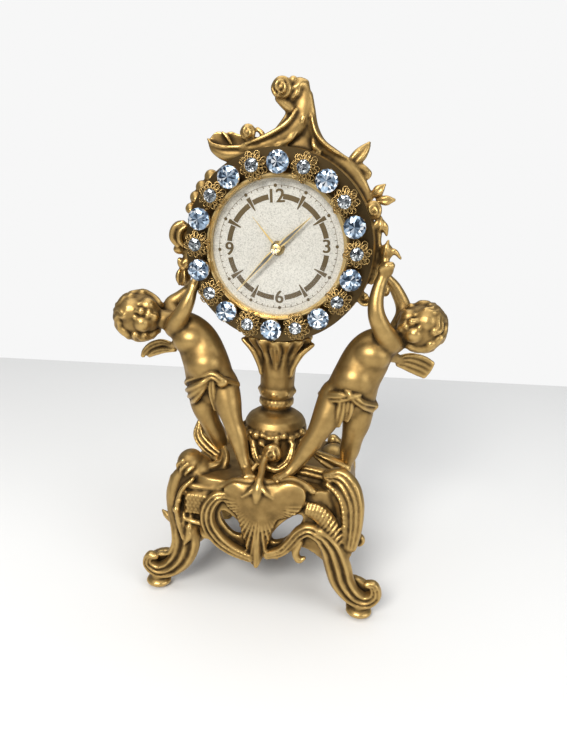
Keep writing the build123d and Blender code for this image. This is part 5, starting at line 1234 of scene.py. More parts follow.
class CLOCK_OT_right_child(ClockOperator, bpy.types.Operator):
    """Winged child on the right"""

    bl_idname = "clock.right_child"
    bl_label = "Right child"

    def execute(self, context):
        pieces = [flesh(self.body(), settings().voxel, rounds=SKIN_ROUNDS)]
        pieces += head((49.4, -5.4, 101.0), 7.8, ahead=(-0.36, -0.85, 0.38), crown=(0.84, -0.22, 0.5))
        pieces += foot((7.8, -19.0, 46.8), (4.8, -22.4, 46.5), 3.4)
        pieces += foot((27.9, -5.2, 46.0), (26.8, -9.2, 45.4), 3.2)
        pieces += self.drapery()
        pieces.append(self.wing())
        piece = cast("right_child", pieces, settings().voxel * CHILD_GRAIN)
        placed(piece, "case", "gilt", finish_of("gilt"), "right_cherub")
        return {"FINISHED"}

    def body(self):
        """Trunk, neck, arms and legs, then the root of the wing, the raised fist and the other hand."""
        pieces = [
            band([
                (41.0, -7, 95.8, 8.8, 7.6), (36.8, -7.2, 94.0, 13.6, 10.6),
                (32.9, -7.8, 90.2, 16.2, 12.6), (29.4, -8.8, 82.4, 16.8, 14.4),
                (27.8, -8.4, 76.0, 17.8, 13.6), (27.2, -8, 71.4, 14, 10.8),
            ]),
            ball((28.8, -10.6, 82.0), (7.4, 6.6, 7.0), detail=28),
            ball((33.6, -10.2, 90.8), (6.8, 5.2, 5.6), detail=28),
            band([(39.6, -7, 95.6, 8.0, 7.6), (43.8, -6.4, 98.0, 6.8, 7), (47.6, -5.8, 100.2, 7.4, 7.6)]),
            band([
                (39.9, -9.8, 95.6, 8.0, 7.6), (37.2, -12.4, 99.4, 7.0, 6.6),
                (34.4, -13.8, 104.8, 6.0, 5.8), (33.6, -13.4, 109.4, 5.2, 5.2),
                (34.2, -12.2, 114.6, 4.4, 4.4), (35.5, -11.0, 118.6, 3.7, 3.7),
            ]),
            band([
                (41.0, -3.2, 97.0, 7.0, 6.8), (43.4, 2.2, 104.4, 5.8, 5.6),
                (40.0, 2.4, 111.8, 4.6, 4.4), (36.6, 1.6, 115.6, 3.8, 3.6),
            ]),
            band([
                (22.4, -9.4, 75.4, 11.4, 11.2), (20.2, -11.8, 68.0, 10.4, 10.6),
                (17.2, -14.2, 61.4, 7.6, 8.0), (14.4, -15.2, 56.4, 7.0, 7.4),
                (10.9, -17.0, 50.6, 4.8, 5.2), (8.0, -18.8, 46.8, 4.0, 4.4),
            ]),
            band([
                (31.0, -6.4, 74.6, 11.6, 11.2), (30.6, -7.0, 65.6, 10.4, 10.4),
                (29.6, -7.0, 59.2, 8.0, 8.2), (28.9, -5.8, 53.4, 7.4, 7.6),
                (28.2, -4.8, 48.0, 4.9, 5.2), (27.9, -5.4, 46.2, 4.2, 4.4),
            ]),
        ]
        pieces.append(band([
            (38.4, -3.6, 90.4, 6.4, 5), (41.8, -0.6, 88.4, 4.4, 3.0), (46.8, 1.7, 86.2, 1.6, 0.9),
        ]))
        pieces.append(ball((35.8, -10.8, 119.8), (2.7, 2.6, 2.9)))
        for knuckle in ((34.4, -12.4, 120.2), (36.0, -13.0, 121.2), (37.4, -12.2, 121.4)):
            pieces.append(ball(knuckle, 1.5, detail=12))
        pieces += hand((36.6, 1.6, 115.6), (34.8, 1.0, 118.0), 3.2)
        return pieces

    def drapery(self):
        """Cloth round the hips with its knot and two hanging ends."""
        front_line = (
            (17.4, -7.6, 74.4), (19.6, -12.6, 75.2), (23.9, -15.4, 76.1),
            (28.5, -16.2, 77.4), (31.9, -15.4, 75.2), (36.4, -9.0, 72.4),
        )
        pieces = cloth(front_line, (27.6, 75.6))
        pieces += [
            band([
                (26.4, -16.0, 79.4, 1.2, 1.8), (28.0, -16.8, 78.4, 1.8, 2.2),
                (29.4, -16.6, 76.6, 1.2, 1.8),
            ]),
            band([
                (27.2, -16.2, 76.6, 1.2, 1.8), (28.6, -16.9, 77.8, 1.8, 2.2),
                (31.2, -15.8, 78.2, 1.2, 1.6),
            ]),
            band([
                (19.0, -12.0, 76.8, 1.4, 1.8), (23.4, -15.2, 77.6, 1.9, 2.2),
                (27.4, -16.4, 78.2, 1.4, 1.8),
            ]),
            band([
                (29.4, -16.2, 76.6, 1.4, 1.8), (32.4, -14.6, 73.8, 1.9, 2.2),
                (35.8, -9.6, 70.8, 1.3, 1.6),
            ]),
            band([
                (25.6, -15.8, 76.6, 2.6, 2.2), (25.2, -15.6, 71.6, 3.6, 2.4),
                (24.4, -14.4, 65.6, 2.0, 1.2),
            ], ribs=2, groove=0.5),
            band([
                (28.2, -15.8, 76.6, 2.4, 2.2), (28.0, -15.6, 72.4, 3.0, 2.2),
                (27.4, -14.6, 68.0, 1.6, 1.2),
            ], ribs=2, groove=0.5),
        ]
        return pieces

    def wing(self):
        """One broad ribbed wing."""
        return band([
            (43.2, 0.4, 87.0, 4.4, 2.0), (47.0, 1.8, 86.6, 7.0, 2.0),
            (51.0, 2.8, 85.4, 8.0, 1.9), (54.4, 3.2, 83.8, 7.4, 1.7),
        ], ribs=4, groove=0.55)


class CLOCK_OT_surround(ClockOperator, bpy.types.Operator):
    """Leafy surround with its crest and roses"""

    bl_idname = "clock.surround"
    bl_label = "Surround"

    def execute(self, context):
        profile = [
            (27.6, -7.4, 0), (30.6, -7.5, 0), (31.8, -6.0, 0), (32.0, 0.0, 0),
            (31.6, 6.6, 0), (30.6, 7.8, 0), (27.6, 7.9, 0),
        ]
        pieces = [spun("ring", profile, axis="Y", middle=(0, 0, AXIS_Z))]
        pieces += crest()
        pieces += crest_leaf()
        pieces += left_side()
        pieces += right_side()
        piece = cast("surround", pieces, settings().voxel * SURROUND_GRAIN)
        placed(piece, "case", "gilt", finish_of("gilt"), "dial_surround")
        return {"FINISHED"}


def crest():
    """Stalk with its branches, the web between them, buds and a rose."""
    pieces = [
        band([
            (5.0, -3.6, 175.2, 3.6, 3), (4.7, -3.8, 172.4, 5.6, 3.6), (4.9, -4.0, 168.6, 6.6, 4),
            (4.0, -4.2, 164.8, 7.0, 4.2), (1.0, -4.8, 161.2, 6.4, 4.2), (-3.6, -5.4, 158.0, 5.0, 4),
            (-8.9, -6.0, 156.0, 3.6, 3.4), (-14.2, -6.4, 154.8, 1.6, 2),
        ]),
        band([
            (3.2, -6.0, 167.4, 1.0, 1.6), (1.0, -7.0, 163.6, 1.6, 2.2),
            (-3.4, -7.4, 160.4, 1.7, 2.2), (-9.0, -7.6, 157.8, 1.4, 1.8),
            (-14.0, -7.2, 156.2, 0.8, 1.2),
        ]),
        band([
            (6.8, -3.6, 172.0, 2.4, 3), (7.4, -3.6, 167.6, 3.4, 3.4), (8.6, -3.8, 162.4, 3.6, 3.6),
            (11.4, -4.0, 157.6, 3.8, 3.8), (16.0, -4.0, 154.2, 4.2, 3.8), (21.0, -3.8, 150.6, 4.8, 3.4),
            (24.6, -3.4, 146.8, 4.4, 3), (28.0, -3.0, 141.6, 3.4, 3),
        ]),
        band([
            (8.2, -5.4, 165.4, 0.8, 1.4), (10.0, -5.9, 160.6, 1.4, 2), (13.6, -5.9, 157.0, 1.4, 2),
            (17.8, -5.7, 154.6, 1.2, 1.8), (20.8, -5.0, 153.4, 0.8, 1.2),
        ]),
        plate((
            (1.6, 172.4), (6.6, 172.4), (7.0, 168.2), (7.8, 163.6), (9.8, 159.4),
            (13.0, 156.6), (17.0, 154.4), (15.0, 151.8), (9.0, 154.2), (3.0, 155.4),
            (-3.0, 155.4), (-9.0, 154.4), (-13.0, 155.4), (-8.6, 158.0), (-4.4, 161.0),
            (-0.8, 165.6), (0.9, 169.2),
        ), (4.0, 160.5), -5.2, 3.6, -0.7),
        ball((5.4, -5.8, 164.4), (0.9, 1.0, 1.8), turn=(0, 15, 0), detail=12),
        band([
            (3.6, -5.8, 160.6, 1.0, 1.4), (2.0, -6.2, 159.0, 2.0, 1.8), (0.2, -6.2, 157.0, 1.0, 1.2),
        ], ribs=2),
        band([
            (0.6, -6.2, 158.0, 1.0, 1.4), (-2.0, -6.6, 156.6, 1.9, 1.8), (-5.0, -6.6, 155.6, 1.0, 1.2),
        ], ribs=2),
        band([(-3.4, -6.4, 156.4, 0.9, 1.2), (-5.8, -6.8, 155.2, 1.5, 1.6), (-8.4, -6.6, 154.6, 0.8, 1.0)]),
        band([
            (8.8, -5.2, 158.6, 0.9, 1.4), (9.6, -5.8, 156.6, 1.7, 1.8), (11.4, -5.6, 155.0, 0.9, 1.2),
        ], ribs=2),
        ball((3.6, -3.8, 174.6), (3.0, 2.4, 2.4), detail=20),
        band([(3.8, -5.0, 176.0, 1.4, 1.6), (3.8, -5.8, 174.4, 2.2, 1.8), (1.8, -6.2, 173.2, 1.4, 1.6)]),
        band([(3.6, -5.2, 174.6, 1.0, 1.4), (3.4, -6.0, 172.4, 1.8, 1.6), (2.2, -6.2, 170.8, 0.8, 1.2)]),
        ball((1.7, -5.4, 175.8), (1.4, 1.2, 1.4), detail=12),
        ball((1.6, -4.4, 172.4), (2.8, 2.2, 3.2), detail=16),
        band([(-2.6, -5.4, 170.4, 2.6, 3), (0.2, -4.8, 168.4, 3.4, 3.2), (3.0, -4.2, 166.6, 2.8, 3)]),
    ]
    pieces += rose((-1.6, -6.0, 173.4), 3.6)
    return pieces


def crest_leaf():
    """The broad curled leaf at the left of the crest, with a rose on it."""
    pieces = [
        plate((
            (-25.9, 157.6), (-24.6, 159.4), (-22.6, 160.5), (-20.4, 159.9),
            (-18.4, 160.6), (-15.8, 159.8), (-10.2, 159.2), (-6.4, 158.4),
            (-8.6, 155.6), (-13.0, 154.6), (-18.6, 154.2), (-23.8, 155.2),
        ), (-16.8, 157.4), -4.6, 2.6, -0.8),
        band([
            (-21.0, -5.0, 160.2, 0.8, 1.2), (-19.2, -5.0, 158.4, 1.2, 1.4),
            (-17.8, -5.0, 156.6, 0.8, 1.2),
        ]),
        band([
            (-7.0, -4.8, 155.2, 2.4, 3.2), (-13.4, -5.2, 153.9, 4.0, 4.0),
            (-19.0, -5.0, 153.3, 4.6, 4.0), (-23.4, -4.6, 154.8, 3.2, 3.2),
            (-25.4, -4.2, 157.0, 1.6, 1.8),
        ]),
        band([
            (-8.0, -6.2, 155.7, 0.9, 1.4), (-13.6, -6.9, 155.7, 1.2, 1.7),
            (-19.6, -6.7, 155.5, 1.2, 1.7), (-24.2, -5.8, 156.4, 1.0, 1.5),
            (-26.0, -5.0, 158.0, 0.8, 1.1),
        ]),
        band([(-16.4, -3.6, 153.0, 4.0, 3), (-18.0, -3.6, 151.0, 3.2, 3), (-18.6, -3.4, 148.4, 3.0, 3)]),
    ]
    pieces += rose((-12.1, -6.0, 160.2), 2.8)
    pieces.append(band([
        (-9.2, -5.2, 161.4, 1.4, 1.8), (-7.4, -5.6, 159.6, 1.8, 2), (-8.6, -5.6, 157.6, 1.2, 1.6),
    ]))
    return pieces


def left_side():
    """Flower, curls and leaves at the left of the dial."""
    pieces = [
        ball((-36.4, -3.0, 127.2), (3.8, 3.0, 4.4), turn=(0.0, 20.0, 0.0), detail=24),
        band([
            (-34.6, -5.2, 131.0, 1.6, 2), (-37.6, -5.4, 129.0, 2.4, 2.4),
            (-38.4, -5.4, 125.6, 2.4, 2.4), (-36.4, -5.4, 122.8, 1.6, 2),
        ]),
        band([
            (-33.4, -5.6, 129.6, 1.4, 2), (-35.4, -6.0, 127.8, 2.0, 2.2),
            (-35.6, -6.0, 125.0, 2.0, 2.2), (-34.2, -5.8, 123.0, 1.4, 2),
        ]),
        ball((-36.6, -3.4, 121.6), (2.2, 2.2, 1.8), detail=16),
        ball((-33.0, -2.4, 120.0), (2.6, 2.4, 5.0), detail=16),
        ball((-35.2, -3.6, 112.0), (2.8, 2.8, 3.3), detail=24),
        band([
            (-35.6, -6.0, 114.6, 0.9, 1.4), (-36.2, -6.4, 112.0, 1.3, 1.6),
            (-35.8, -6.0, 109.6, 0.9, 1.4),
        ]),
        band([
            (-33.8, -6.0, 114.4, 0.9, 1.4), (-33.6, -6.4, 112.0, 1.3, 1.6),
            (-34.2, -6.0, 109.8, 0.9, 1.4),
        ]),
    ]
    pieces += volute((-34.6, -3.6, 117.0), 2.1, 1.1, 1.7, 2.4, start=150)
    for x, z, size in ((-32.2, 135.6, 2.0), (-30.4, 139.4, 2.2), (-28.2, 142.8, 2.3), (-25.0, 146.2, 2.5)):
        pieces.append(ball((x, -3.6, z), (size, 2.4, size), detail=16))
        pieces.append(ball((x * 0.985, -5.4, z - 0.6), (size * 0.55, 1.2, size * 0.55), detail=12))
    return pieces


def right_side():
    """Leaves, rose, tulip and buds at the right of the dial."""
    leaves = (
        (
            (20.6, -2.6, 151.0, 3.4, 3), (23.8, -1.8, 154.6, 4.6, 3),
            (25.8, -1.0, 157.2, 3.0, 2.2), (26.8, -0.4, 158.8, 1.0, 1.2),
        ),
        ((20.4, -2.4, 150.6, 3.6, 3), (24.4, -2.4, 150.2, 4.4, 3), (27.2, -2.4, 148.8, 3.4, 2.4)),
        ((29.2, -3.4, 142.4, 1.8, 2), (31.1, -4.0, 144.2, 3.6, 2.6), (32.9, -3.8, 146.0, 1.0, 1.2)),
        ((31.2, -3.0, 141.0, 1.8, 2), (33.8, -3.2, 141.2, 3.4, 2.4), (36.4, -3.0, 141.5, 1.2, 1.2)),
        ((31.4, -4.0, 130.8, 1.8, 2), (32.0, -5.0, 133.2, 3.8, 2.8), (32.7, -4.8, 135.8, 1.0, 1.2)),
        ((33.2, -4.4, 134.8, 1.2, 1.6), (34.2, -5.0, 132.8, 2.4, 2.2), (35.0, -4.8, 130.4, 1.0, 1.2)),
    )
    pieces = [leaf(rows) for rows in leaves]
    pieces += rose((29.9, -5.4, 138.0), 3.2)
    pieces += [
        band([
            (29.6, -3.2, 133.4, 3.0, 2.6), (31.6, -4.0, 131.2, 3.4, 2.8), (32.2, -4.0, 128.0, 2.6, 2.4),
            (33.0, -4.2, 124.2, 2.8, 2.6), (32.6, -4.2, 119.6, 2.6, 2.4), (31.4, -4.2, 114.6, 1.8, 2),
        ], ribs=2),
        ball((35.4, -5.0, 125.2), (2.1, 2.0, 2.6)),
        band([(35.0, -5.0, 122.6, 2.4, 2.6), (35.2, -6.2, 126.0, 2.2, 2.2), (35.7, -5.6, 128.6, 1.0, 1.2)]),
        band([(35.6, -5.0, 123.0, 2.2, 2.4), (37.8, -5.6, 125.4, 2.0, 2.0), (40.2, -5.0, 123.2, 1.0, 1.2)]),
        band([(36.0, -6.0, 118.4, 2.6, 2.6), (35.4, -5.6, 121.4, 3.0, 3.0), (35.4, -5.2, 124.0, 2.6, 2.6)]),
        ball((36.4, -2.4, 112.0), (1.6, 1.6, 2.2), detail=12),
        band([(33.6, -2.4, 116.4, 2.0, 2.2), (35.6, -2.4, 114.0, 1.8, 2.0), (36.6, -2.4, 111.0, 1.2, 1.4)]),
    ]
    pieces += volute((29.6, -5.2, 109.4), 2.6, 1.3, 1.6, 2.6, start=0, sense=-1)
    return pieces


# Bezel, stones and dial


def ring_places(count, first):
    """Places round the bezel, clockwise from the top, with their angles."""
    radius = settings().stone_circle / MM
    places = []
    for index in range(count):
        angle = math.radians(90.0 - first - 360.0 * index / count)
        places.append((radius * math.cos(angle), AXIS_Z + radius * math.sin(angle), angle))
    return places


def painted_glint_of(facet, seed):
    """The painted glint brightness of one facet: scattered, but the same each time."""
    return math.sin(12.9898 * (facet + 1) + 78.233 * (seed + 1)) * 43758.5453 % 1.0


def brilliant(spot, radius, y, seed):
    """A cut stone that faces the front, with its own painted glint brightness on each facet."""
    x, z = spot
    sides = 16
    # Reach, depth and turn of each ring of corners, from the back to the table
    rings = ((1.0, 0.9, 0.0), (1.0, 0.0, 0.0), (0.8, -0.5, 11.25), (0.5, -0.82, 0.0))
    unit_depth = radius / STONE_FLATNESS
    verts = []
    for reach, drop, turn in rings:
        for k in range(sides):
            angle = math.radians(turn + 360.0 / sides * k)
            across = radius * reach
            verts.append((x + across * math.cos(angle), y + drop * unit_depth, z + across * math.sin(angle)))
    verts.append((x, y - STONE_TOP * unit_depth, z))
    faces = [tuple(range(sides))]
    girdle, bevel, table, point = sides, 2 * sides, 3 * sides, 4 * sides
    for k in range(sides):
        n = (k + 1) % sides
        faces += [
            (k, girdle + k, girdle + n, n),
            (girdle + k, bevel + k, girdle + n),
            (bevel + k, bevel + n, girdle + n),
            (bevel + k, table + n, bevel + n),
            (bevel + k, table + k, table + n),
            (table + k, point, table + n),
        ]
    stone = outward(shaped("stone", verts, faces))
    # Each facet gets its painted glint brightness
    layer = stone.data.attributes.new("painted_glint", "FLOAT", "FACE")
    layer.data.foreach_set("value", [painted_glint_of(facet, seed) for facet in range(len(faces))])
    return stone


class CLOCK_OT_stones(ClockOperator, bpy.types.Operator):
    """Cut stones round the dial"""

    bl_idname = "clock.stones"
    bl_label = "Stones"

    def execute(self, context):
        for node, first, radius, slot, finish in (
            ("large_stones", 0.0, settings().stone_radius / MM, "blue_stone", "blue"),
            ("small_stones", HALF_STEP, settings().small_radius / MM, "grey_stone", "grey"),
        ):
            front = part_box(node)[0][1] / MM
            y = front + STONE_TOP * radius / STONE_FLATNESS
            stones = []
            for seed, (x, z, _) in enumerate(ring_places(STONE_COUNT, first)):
                stones.append(brilliant((x, z), radius, y, seed))
            piece = joined(node + "_cut", stones)
            placed(piece, "case", slot, finish_of(finish), node)
        return {"FINISHED"}


class CLOCK_OT_florets(ClockOperator, bpy.types.Operator):
    """Wire florets round the small stones and claws round the large ones"""

    bl_idname = "clock.florets"
    bl_label = "Florets"

    def execute(self, context):
        self.set_florets()
        self.set_claws()
        return {"FINISHED"}

    def set_florets(self):
        """Three layers of wire loops and a ring of grains on a post, ten times."""
        low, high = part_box("floret_settings")
        back, front = high[1] / MM, low[1] / MM
        grain_circle = settings().small_radius / MM + 0.2
        grains = 20
        loops = 8
        # Depth behind the front, turn in degrees, inner and outer radius and width of each layer's loops
        layers = ((2.2, 11.0, 2.6, 4.6, 1.6), (1.1, 0.0, 2.3, 4.1, 1.2), (0.5, 22.5, 1.9, 3.4, 0.9))
        pieces = []
        for x, z, angle in ring_places(STONE_COUNT, HALF_STEP):
            pieces.append(post((x, z), POST_RADIUS, back, front + 0.6))
            for index in range(loops):
                turn = angle + math.radians(360 / loops * index)
                for depth, twist, inner, outer, width in layers:
                    spot = (x, front + depth, z)
                    pieces.append(wire(spot, turn + math.radians(twist), inner, outer, width))
            for index in range(grains):
                turn = math.radians(360 / grains * index)
                spot = (x + grain_circle * math.cos(turn), front + 0.2, z + grain_circle * math.sin(turn))
                pieces.append(ball(spot, 0.34, detail=6))
        florets = joined("florets", pieces)
        bpy.ops.object.shade_smooth()
        placed(florets, "case", "bezel_gilt", finish_of("filigree"), "floret_settings")

    def set_claws(self):
        """A cup on a post with eight claws, ten times."""
        low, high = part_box("stone_cups")
        back, front = high[1] / MM, low[1] / MM
        radius = settings().stone_radius / MM
        claw_circle = radius - 0.1
        count = 8
        step = 360 / count
        claws = []
        for x, z, angle in ring_places(STONE_COUNT, 0.0):
            claws.append(post((x, z), POST_RADIUS, back, front + 1.0))
            claws.append(post((x, z), radius - 0.05, front + 1.6, front + 0.4))
            for index in range(count):
                turn = angle + math.radians(step * index + step / 2)
                spot = (x + claw_circle * math.cos(turn), front + 0.5, z + claw_circle * math.sin(turn))
                claws.append(ball(spot, (0.34, 0.8, 0.34), detail=8))
        piece = joined("claws", claws)
        bpy.ops.object.shade_smooth()
        placed(piece, "case", "bezel_gilt", finish_of("filigree"), "stone_cups")


def post(spot, radius, back, front, sides=20):
    """A short round post that stands toward the front."""
    bpy.ops.mesh.primitive_cylinder_add(
        vertices=sides,
        radius=radius * MM,
        depth=(back - front) * MM,
        location=(spot[0] * MM, (back + front) / 2 * MM, spot[1] * MM),
        rotation=(math.radians(90), 0, 0),
    )
    return bpy.context.active_object


def wire(spot, turn, inner, outer, width):
    """A leaf-shaped loop of wire from an inner to an outer radius."""
    x, y, z = spot
    rows = []
    for index in range(13):
        share = 2.0 * math.pi * index / 12
        along = (inner + outer) / 2 - (outer - inner) / 2 * math.cos(share)
        aside = width / 2 * math.sin(share) * (1.0 - 0.35 * math.cos(share))
        rows.append((
            x + along * math.cos(turn) - aside * math.sin(turn),
            y + 0.5 * (along - inner) / (outer - inner),
            z + along * math.sin(turn) + aside * math.cos(turn),
            WIRE_WIDTH,
            WIRE_WIDTH,
        ))
    return band(rows, steps=1, sides=6)


def on_dial(radius, angle, lift=0.0):
    """A place on the dial, by its radius and its angle clockwise from twelve."""
    turn = math.radians(90.0 - angle) + settings().dial_turn
    return (radius * math.cos(turn), FACE_Y - lift, AXIS_Z + radius * math.sin(turn))


def patch(inner, outer, start, end, lift=0.05, steps=12, taper=1.0):
    """A thin part of a ring on the dial, narrowed by the taper at its inner end."""
    verts, faces = [], []
    for index in range(steps + 1):
        angle = start + (end - start) * index / steps
        near = (start + end) / 2 + (angle - (start + end) / 2) * taper
        verts += [
            on_dial(inner, near),
            on_dial(outer, angle),
            on_dial(outer, angle, lift),
            on_dial(inner, near, lift),
        ]
    for index in range(steps):
        a, b = index * 4, index * 4 + 4
        for k in range(4):
            n = (k + 1) % 4
            faces.append((a + k, a + n, b + n, b + k))
    faces += [(3, 2, 1, 0), tuple(range(steps * 4, steps * 4 + 4))]
    return outward(shaped("patch", verts, faces))


class CLOCK_OT_dial(ClockOperator, bpy.types.Operator):
    """Printed figures and marks on the silvered dial"""

    bl_idname = "clock.dial"
    bl_label = "Dial"

    def execute(self, context):
        pieces = self.hour_ring()
        pieces += self.minute_track()
        for words, angle in (("12", 0.0), ("3", 90.0), ("6", 180.0), ("9", 270.0)):
            pieces += self.figure(words, angle)
        piece = joined("dial_print", pieces)
        # The print is real; its dark colour is painted dark reflection
        placed(piece, "case", "dial_silver", finish_of("print"))
        return {"FINISHED"}

    def hour_ring(self):
        """A broken ring with a wedge at each hour that has no figure."""
        inner = 15.55
        outer = 17.25
        figure_gaps = (8.4, 9.4, 6.4, 9.4, 8.4)
        wedge_gap = 2.6
        wedge_inner = 13.9
        wedge_outer = 18.5
        wedge_half = 2.3
        pieces = []
        for quarter in range(4):
            start = 90.0 * quarter
            for first, last in (
                (figure_gaps[quarter], 30.0 - wedge_gap),
                (30.0 + wedge_gap, 60.0 - wedge_gap),
                (60.0 + wedge_gap, 90.0 - figure_gaps[quarter + 1]),
            ):
                pieces.append(patch(inner, outer, start + first, start + last))
            for hour in (start + 30.0, start + 60.0):
                pieces.append(patch(
                    wedge_inner, wedge_outer, hour - wedge_half, hour + wedge_half,
                    lift=0.14, steps=2, taper=0.3,
                ))
        return pieces

    def minute_track(self):
        """A hairline circle with a dot at each hour and a tick at each minute."""
        dot_circle = 19.7
        dot_radius = 0.56
        dot_half = 0.05
        line_inner = 19.74
        line_outer = 19.86
        tick_inner = 19.1
        tick_outer = 19.8
        tick_half = 0.36
        pieces = []
        for hour in range(12):
            angle = 30.0 * hour
            x, y, z = on_dial(dot_circle, angle, 0.03)
            pieces.append(post((x, z), dot_radius, y + dot_half, y - dot_half))
            pieces.append(patch(line_inner, line_outer, angle, angle + 30.0, lift=0.03))
        for minute in range(60):
            if minute % 5:
                angle = 6.0 * minute
                pieces.append(patch(
                    tick_inner, tick_outer, angle - tick_half, angle + tick_half, lift=0.04, steps=1,
                ))
        return pieces

    def figure(self, words, angle):
        """A plain numeral, printed twice with a small shift for a bolder stroke."""
        figure_circle = 16.3
        figure_size = 6.0
        swell = 0.05
        x, y, z = on_dial(figure_circle, angle)
        pieces = []
        for shift, height in ((-0.12, 0.05), (0.12, 0.06)):
            bpy.ops.object.text_add(
                location=((x + shift) * MM, y * MM, z * MM),
                rotation=(math.radians(90), -settings().dial_turn, 0),
            )
            text = bpy.context.active_object
            text.data.body = words
            text.data.align_x = "CENTER"
            text.data.align_y = "CENTER"
            text.data.size = figure_size * MM
            text.data.extrude = height * MM
            text.data.offset = swell * MM
            bpy.ops.object.convert(target="MESH")
            pieces.append(bpy.context.active_object)
        return pieces


def blade(angle, length, tail, width, y, thick, start=0.0):
    """A lance-shaped strip from its tail to its point, about the dial's middle."""
    turn = math.radians(90.0 - angle)
    run = Vector((math.cos(turn), 0.0, math.sin(turn)))
    side = Vector((-math.sin(turn), 0.0, math.cos(turn)))
    span = length - start
    outline = (
        (-tail, 0.2), (start, 0.32), (start + span * 0.2, 0.5),
        (start + span * 0.62, 0.26), (start + span * 0.86, 0.1), (length, 0.04),
    )
    verts, faces = [], []
    for place, share in outline:
        for flank in (-1, 1):
            spot = MIDDLE + run * place + side * flank * width * share
            verts += [(spot.x, y, spot.z), (spot.x, y + thick, spot.z)]
    for index in range(len(outline) - 1):
        a, b = index * 4, index * 4 + 4
        faces += [
            (a, a + 2, b + 2, b), (a + 1, b + 1, b + 3, a + 3),
            (a, b, b + 1, a + 1), (a + 2, a + 3, b + 3, b + 2),
        ]
    last = (len(outline) - 1) * 4
    faces += [(0, 1, 3, 2), (last, last + 2, last + 3, last + 1)]
    return outward(shaped("blade", verts, faces))


class CLOCK_OT_hands(ClockOperator, bpy.types.Operator):
    """Lance hands with a grey inlay"""

    bl_idname = "clock.hands"
    bl_label = "Hands"

    def execute(self, context):
        for node, body, angle, length, width, hub in (
            ("minute_hand", "minute_arbor", 221.2, 19.4, 1.7, 1.3),
            ("hour_hand", "hour_sleeve", 45.8, 15.5, 1.8, 1.6),
            ("alarm_hand", "alarm_display_body", 318.3, 12.9, 0.7, 1.9),
        ):
            low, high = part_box(node)
            front, back = low[1] / MM, high[1] / MM
            pieces = [
                blade(angle, length, hub, width, front, back - front),
                post((0, AXIS_Z), hub, back, front, sides=32),
            ]
            marks = []
            if node == "minute_hand":
                pieces.append(ball((0, front, AXIS_Z), (hub + 0.2, 0.3, hub + 0.2)))
                marks.append(ball((0, front - 0.28, AXIS_Z), (0.4, 0.08, 0.4), detail=12))
            piece = joined(node + "_edge", pieces)
            placed(piece, body, "hand_inlay", finish_of("gold"), node)
            if node != "alarm_hand":
                inlay_length = length * 0.86
                inlay_width = width * 0.6
                inlay_start = hub + 0.9
                marks.append(blade(
                    angle, inlay_length, -hub, inlay_width, front - 0.03, 0.06, start=inlay_start,
                ))
                strip = joined(node + "_strip", marks)
                placed(strip, body, "hand_inlay", finish_of("inlay"))
        return {"FINISHED"}


class CLOCK_OT_finishes(ClockOperator, bpy.types.Operator):
    """Finishes of the pieces that stay as they are in the frame"""

    bl_idname = "clock.finishes"
    bl_label = "Finishes"

    def execute(self, context):
        by_slot = {
            "bezel_gilt": "bezel", "case_brass": "brass", "dial_silver": "silver", "clear_glass": "glass",
            "movement_brass": "wheel", "steel": "steel", "control_brass": "gold", "gilt": "gilt",
            "blue_stone": "blue", "grey_stone": "grey", "hand_inlay": "inlay",
        }
        for part in frame["record"]["subparts"]:
            node = frame["nodes"][part["node"]]
            node.data.materials.clear()
            node.data.materials.append(finish_of(by_slot[part["material_slot"]]))
        return {"FINISHED"}


# Stage


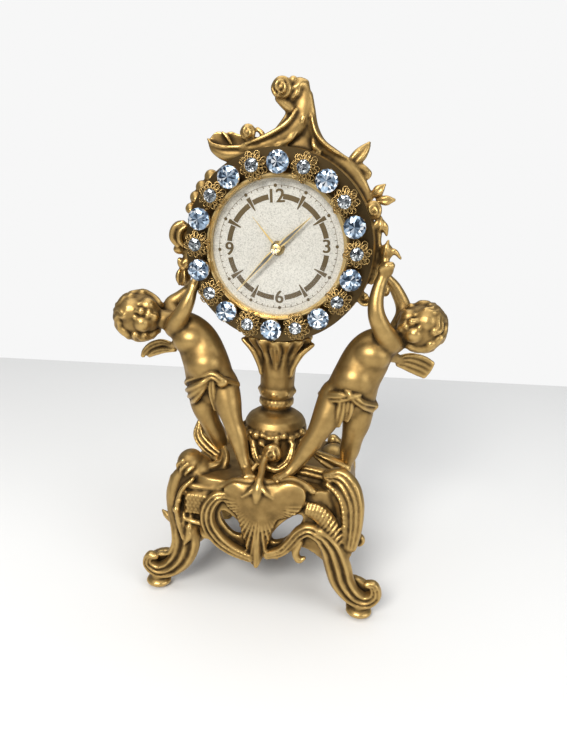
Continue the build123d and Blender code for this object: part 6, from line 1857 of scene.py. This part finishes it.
class CLOCK_OT_stage(ClockOperator, bpy.types.Operator):
    """Floor, soft light and camera"""

    bl_idname = "clock.stage"
    bl_label = "Stage"

    def execute(self, context):
        self.lay_floor()
        self.set_lights()
        self.set_room()
        self.set_camera()
        return {"FINISHED"}

    def lay_floor(self):
        """A pale floor that ends where the photo's table ends."""
        middle = (0.068, -0.2234, -0.0002)
        span = (3.0, 1.0, 1.0)
        turn = math.radians(8.53)
        bpy.ops.mesh.primitive_plane_add(size=1.0, location=middle, rotation=(0, 0, turn), scale=span)
        floor = bpy.context.active_object
        floor.name = "floor"
        finish, _, _, shader = blank("floor_pale")
        shader.inputs["Base Color"].default_value = (0.70, 0.70, 0.69, 1.0)
        shader.inputs["Roughness"].default_value = 0.8
        floor.data.materials.append(finish)

    def set_lights(self):
        """Three soft lights that aim at the middle of the clock."""
        target = Vector((0, 0, 0.09))
        for name, spot, size, power, tint in (
            ("key", (-0.12, -0.62, 0.5), 0.3, 6.0, (1.0, 0.98, 0.95)),
            ("top", (0.0, 0.1, 1.3), 1.5, 12.5, (1.0, 1.0, 1.0)),
            ("fill", (0.7, -0.4, 0.35), 0.5, 2.5, (0.96, 0.98, 1.0)),
        ):
            bpy.ops.object.light_add(type="AREA", location=spot)
            light = bpy.context.active_object
            light.name = name
            light.data.size = size
            light.data.energy = power * settings().light
            light.data.color = tint
            aim = target - Vector(spot)
            light.rotation_euler = aim.to_track_quat("-Z", "Y").to_euler()

    def set_room(self):
        """A grey room that lights the clock, with a white ground behind it."""
        world = bpy.data.worlds.new("studio")
        bpy.context.scene.world = world
        world.use_nodes = True
        nodes = world.node_tree.nodes
        links = world.node_tree.links
        ray = nodes.new("ShaderNodeLightPath")
        shown = nodes.new("ShaderNodeBackground")
        shown.inputs["Color"].default_value = (0.93, 0.93, 0.93, 1.0)
        room = nodes["Background"]
        room.inputs["Color"].default_value = (0.62, 0.64, 0.68, 1.0)
        room.inputs["Strength"].default_value = 0.4 * settings().light
        mix = nodes.new("ShaderNodeMixShader")
        links.new(ray.outputs["Is Camera Ray"], mix.inputs["Fac"])
        links.new(room.outputs["Background"], mix.inputs[1])
        links.new(shown.outputs["Background"], mix.inputs[2])
        links.new(mix.outputs["Shader"], nodes["World Output"].inputs["Surface"])
        bpy.context.scene.view_settings.view_transform = "Standard"

    def set_camera(self):
        """The photo's camera, with its place in millimetres."""
        place = Vector((35.69, -203.15, 139.71))
        right = Vector((0.98336, 0.17597, 0.04505))
        up = Vector((-0.09396, 0.2805, 0.95524))
        ahead = Vector((-0.15546, 0.94358, -0.29237))
        bpy.ops.object.camera_add()
        camera = bpy.context.active_object
        camera.name = "camera"
        turn = Matrix((right, up, -ahead)).transposed().to_4x4()
        camera.matrix_world = Matrix.Translation(place * MM) @ turn
        camera.data.lens = 36.83
        camera.data.sensor_width = 36.0
        camera.data.sensor_fit = "HORIZONTAL"
        camera.data.clip_start = 0.01
        bpy.context.scene.camera = camera


class CLOCK_PT_panel(bpy.types.Panel):
    """Steps of the clock, in order"""

    bl_idname = "CLOCK_PT_panel"
    bl_label = "Figural alarm clock"
    bl_space_type = "VIEW_3D"
    bl_region_type = "UI"
    bl_category = "Clock"

    def draw(self, context):
        for name in ClockSettings.__annotations__:
            self.layout.prop(context.scene.clock_settings, name)
        for step in STEPS:
            self.layout.operator(step.bl_idname)


STEPS = (
    CLOCK_OT_finishes,
    CLOCK_OT_base,
    CLOCK_OT_stem,
    CLOCK_OT_left_child,
    CLOCK_OT_right_child,
    CLOCK_OT_surround,
    CLOCK_OT_stones,
    CLOCK_OT_florets,
    CLOCK_OT_dial,
    CLOCK_OT_hands,
    CLOCK_OT_stage,
)
CLASSES = (ClockSettings, *STEPS, CLOCK_PT_panel)


def register():
    """Adds the clock's settings, steps and panel."""
    for kind in CLASSES:
        bpy.utils.register_class(kind)
    bpy.types.Scene.clock_settings = bpy.props.PointerProperty(type=ClockSettings)


def unregister():
    """Takes them out again."""
    del bpy.types.Scene.clock_settings
    for kind in reversed(CLASSES):
        bpy.utils.unregister_class(kind)


def main():
    """Builds the clock step by step."""
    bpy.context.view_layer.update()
    register()
    bpy.ops.clock.finishes()
    bpy.ops.clock.base()
    bpy.ops.clock.stem()
    bpy.ops.clock.left_child()
    bpy.ops.clock.right_child()
    bpy.ops.clock.surround()
    bpy.ops.clock.stones()
    bpy.ops.clock.florets()
    bpy.ops.clock.dial()
    bpy.ops.clock.hands()
    bpy.ops.clock.stage()


if __name__ == "__main__":
    main()
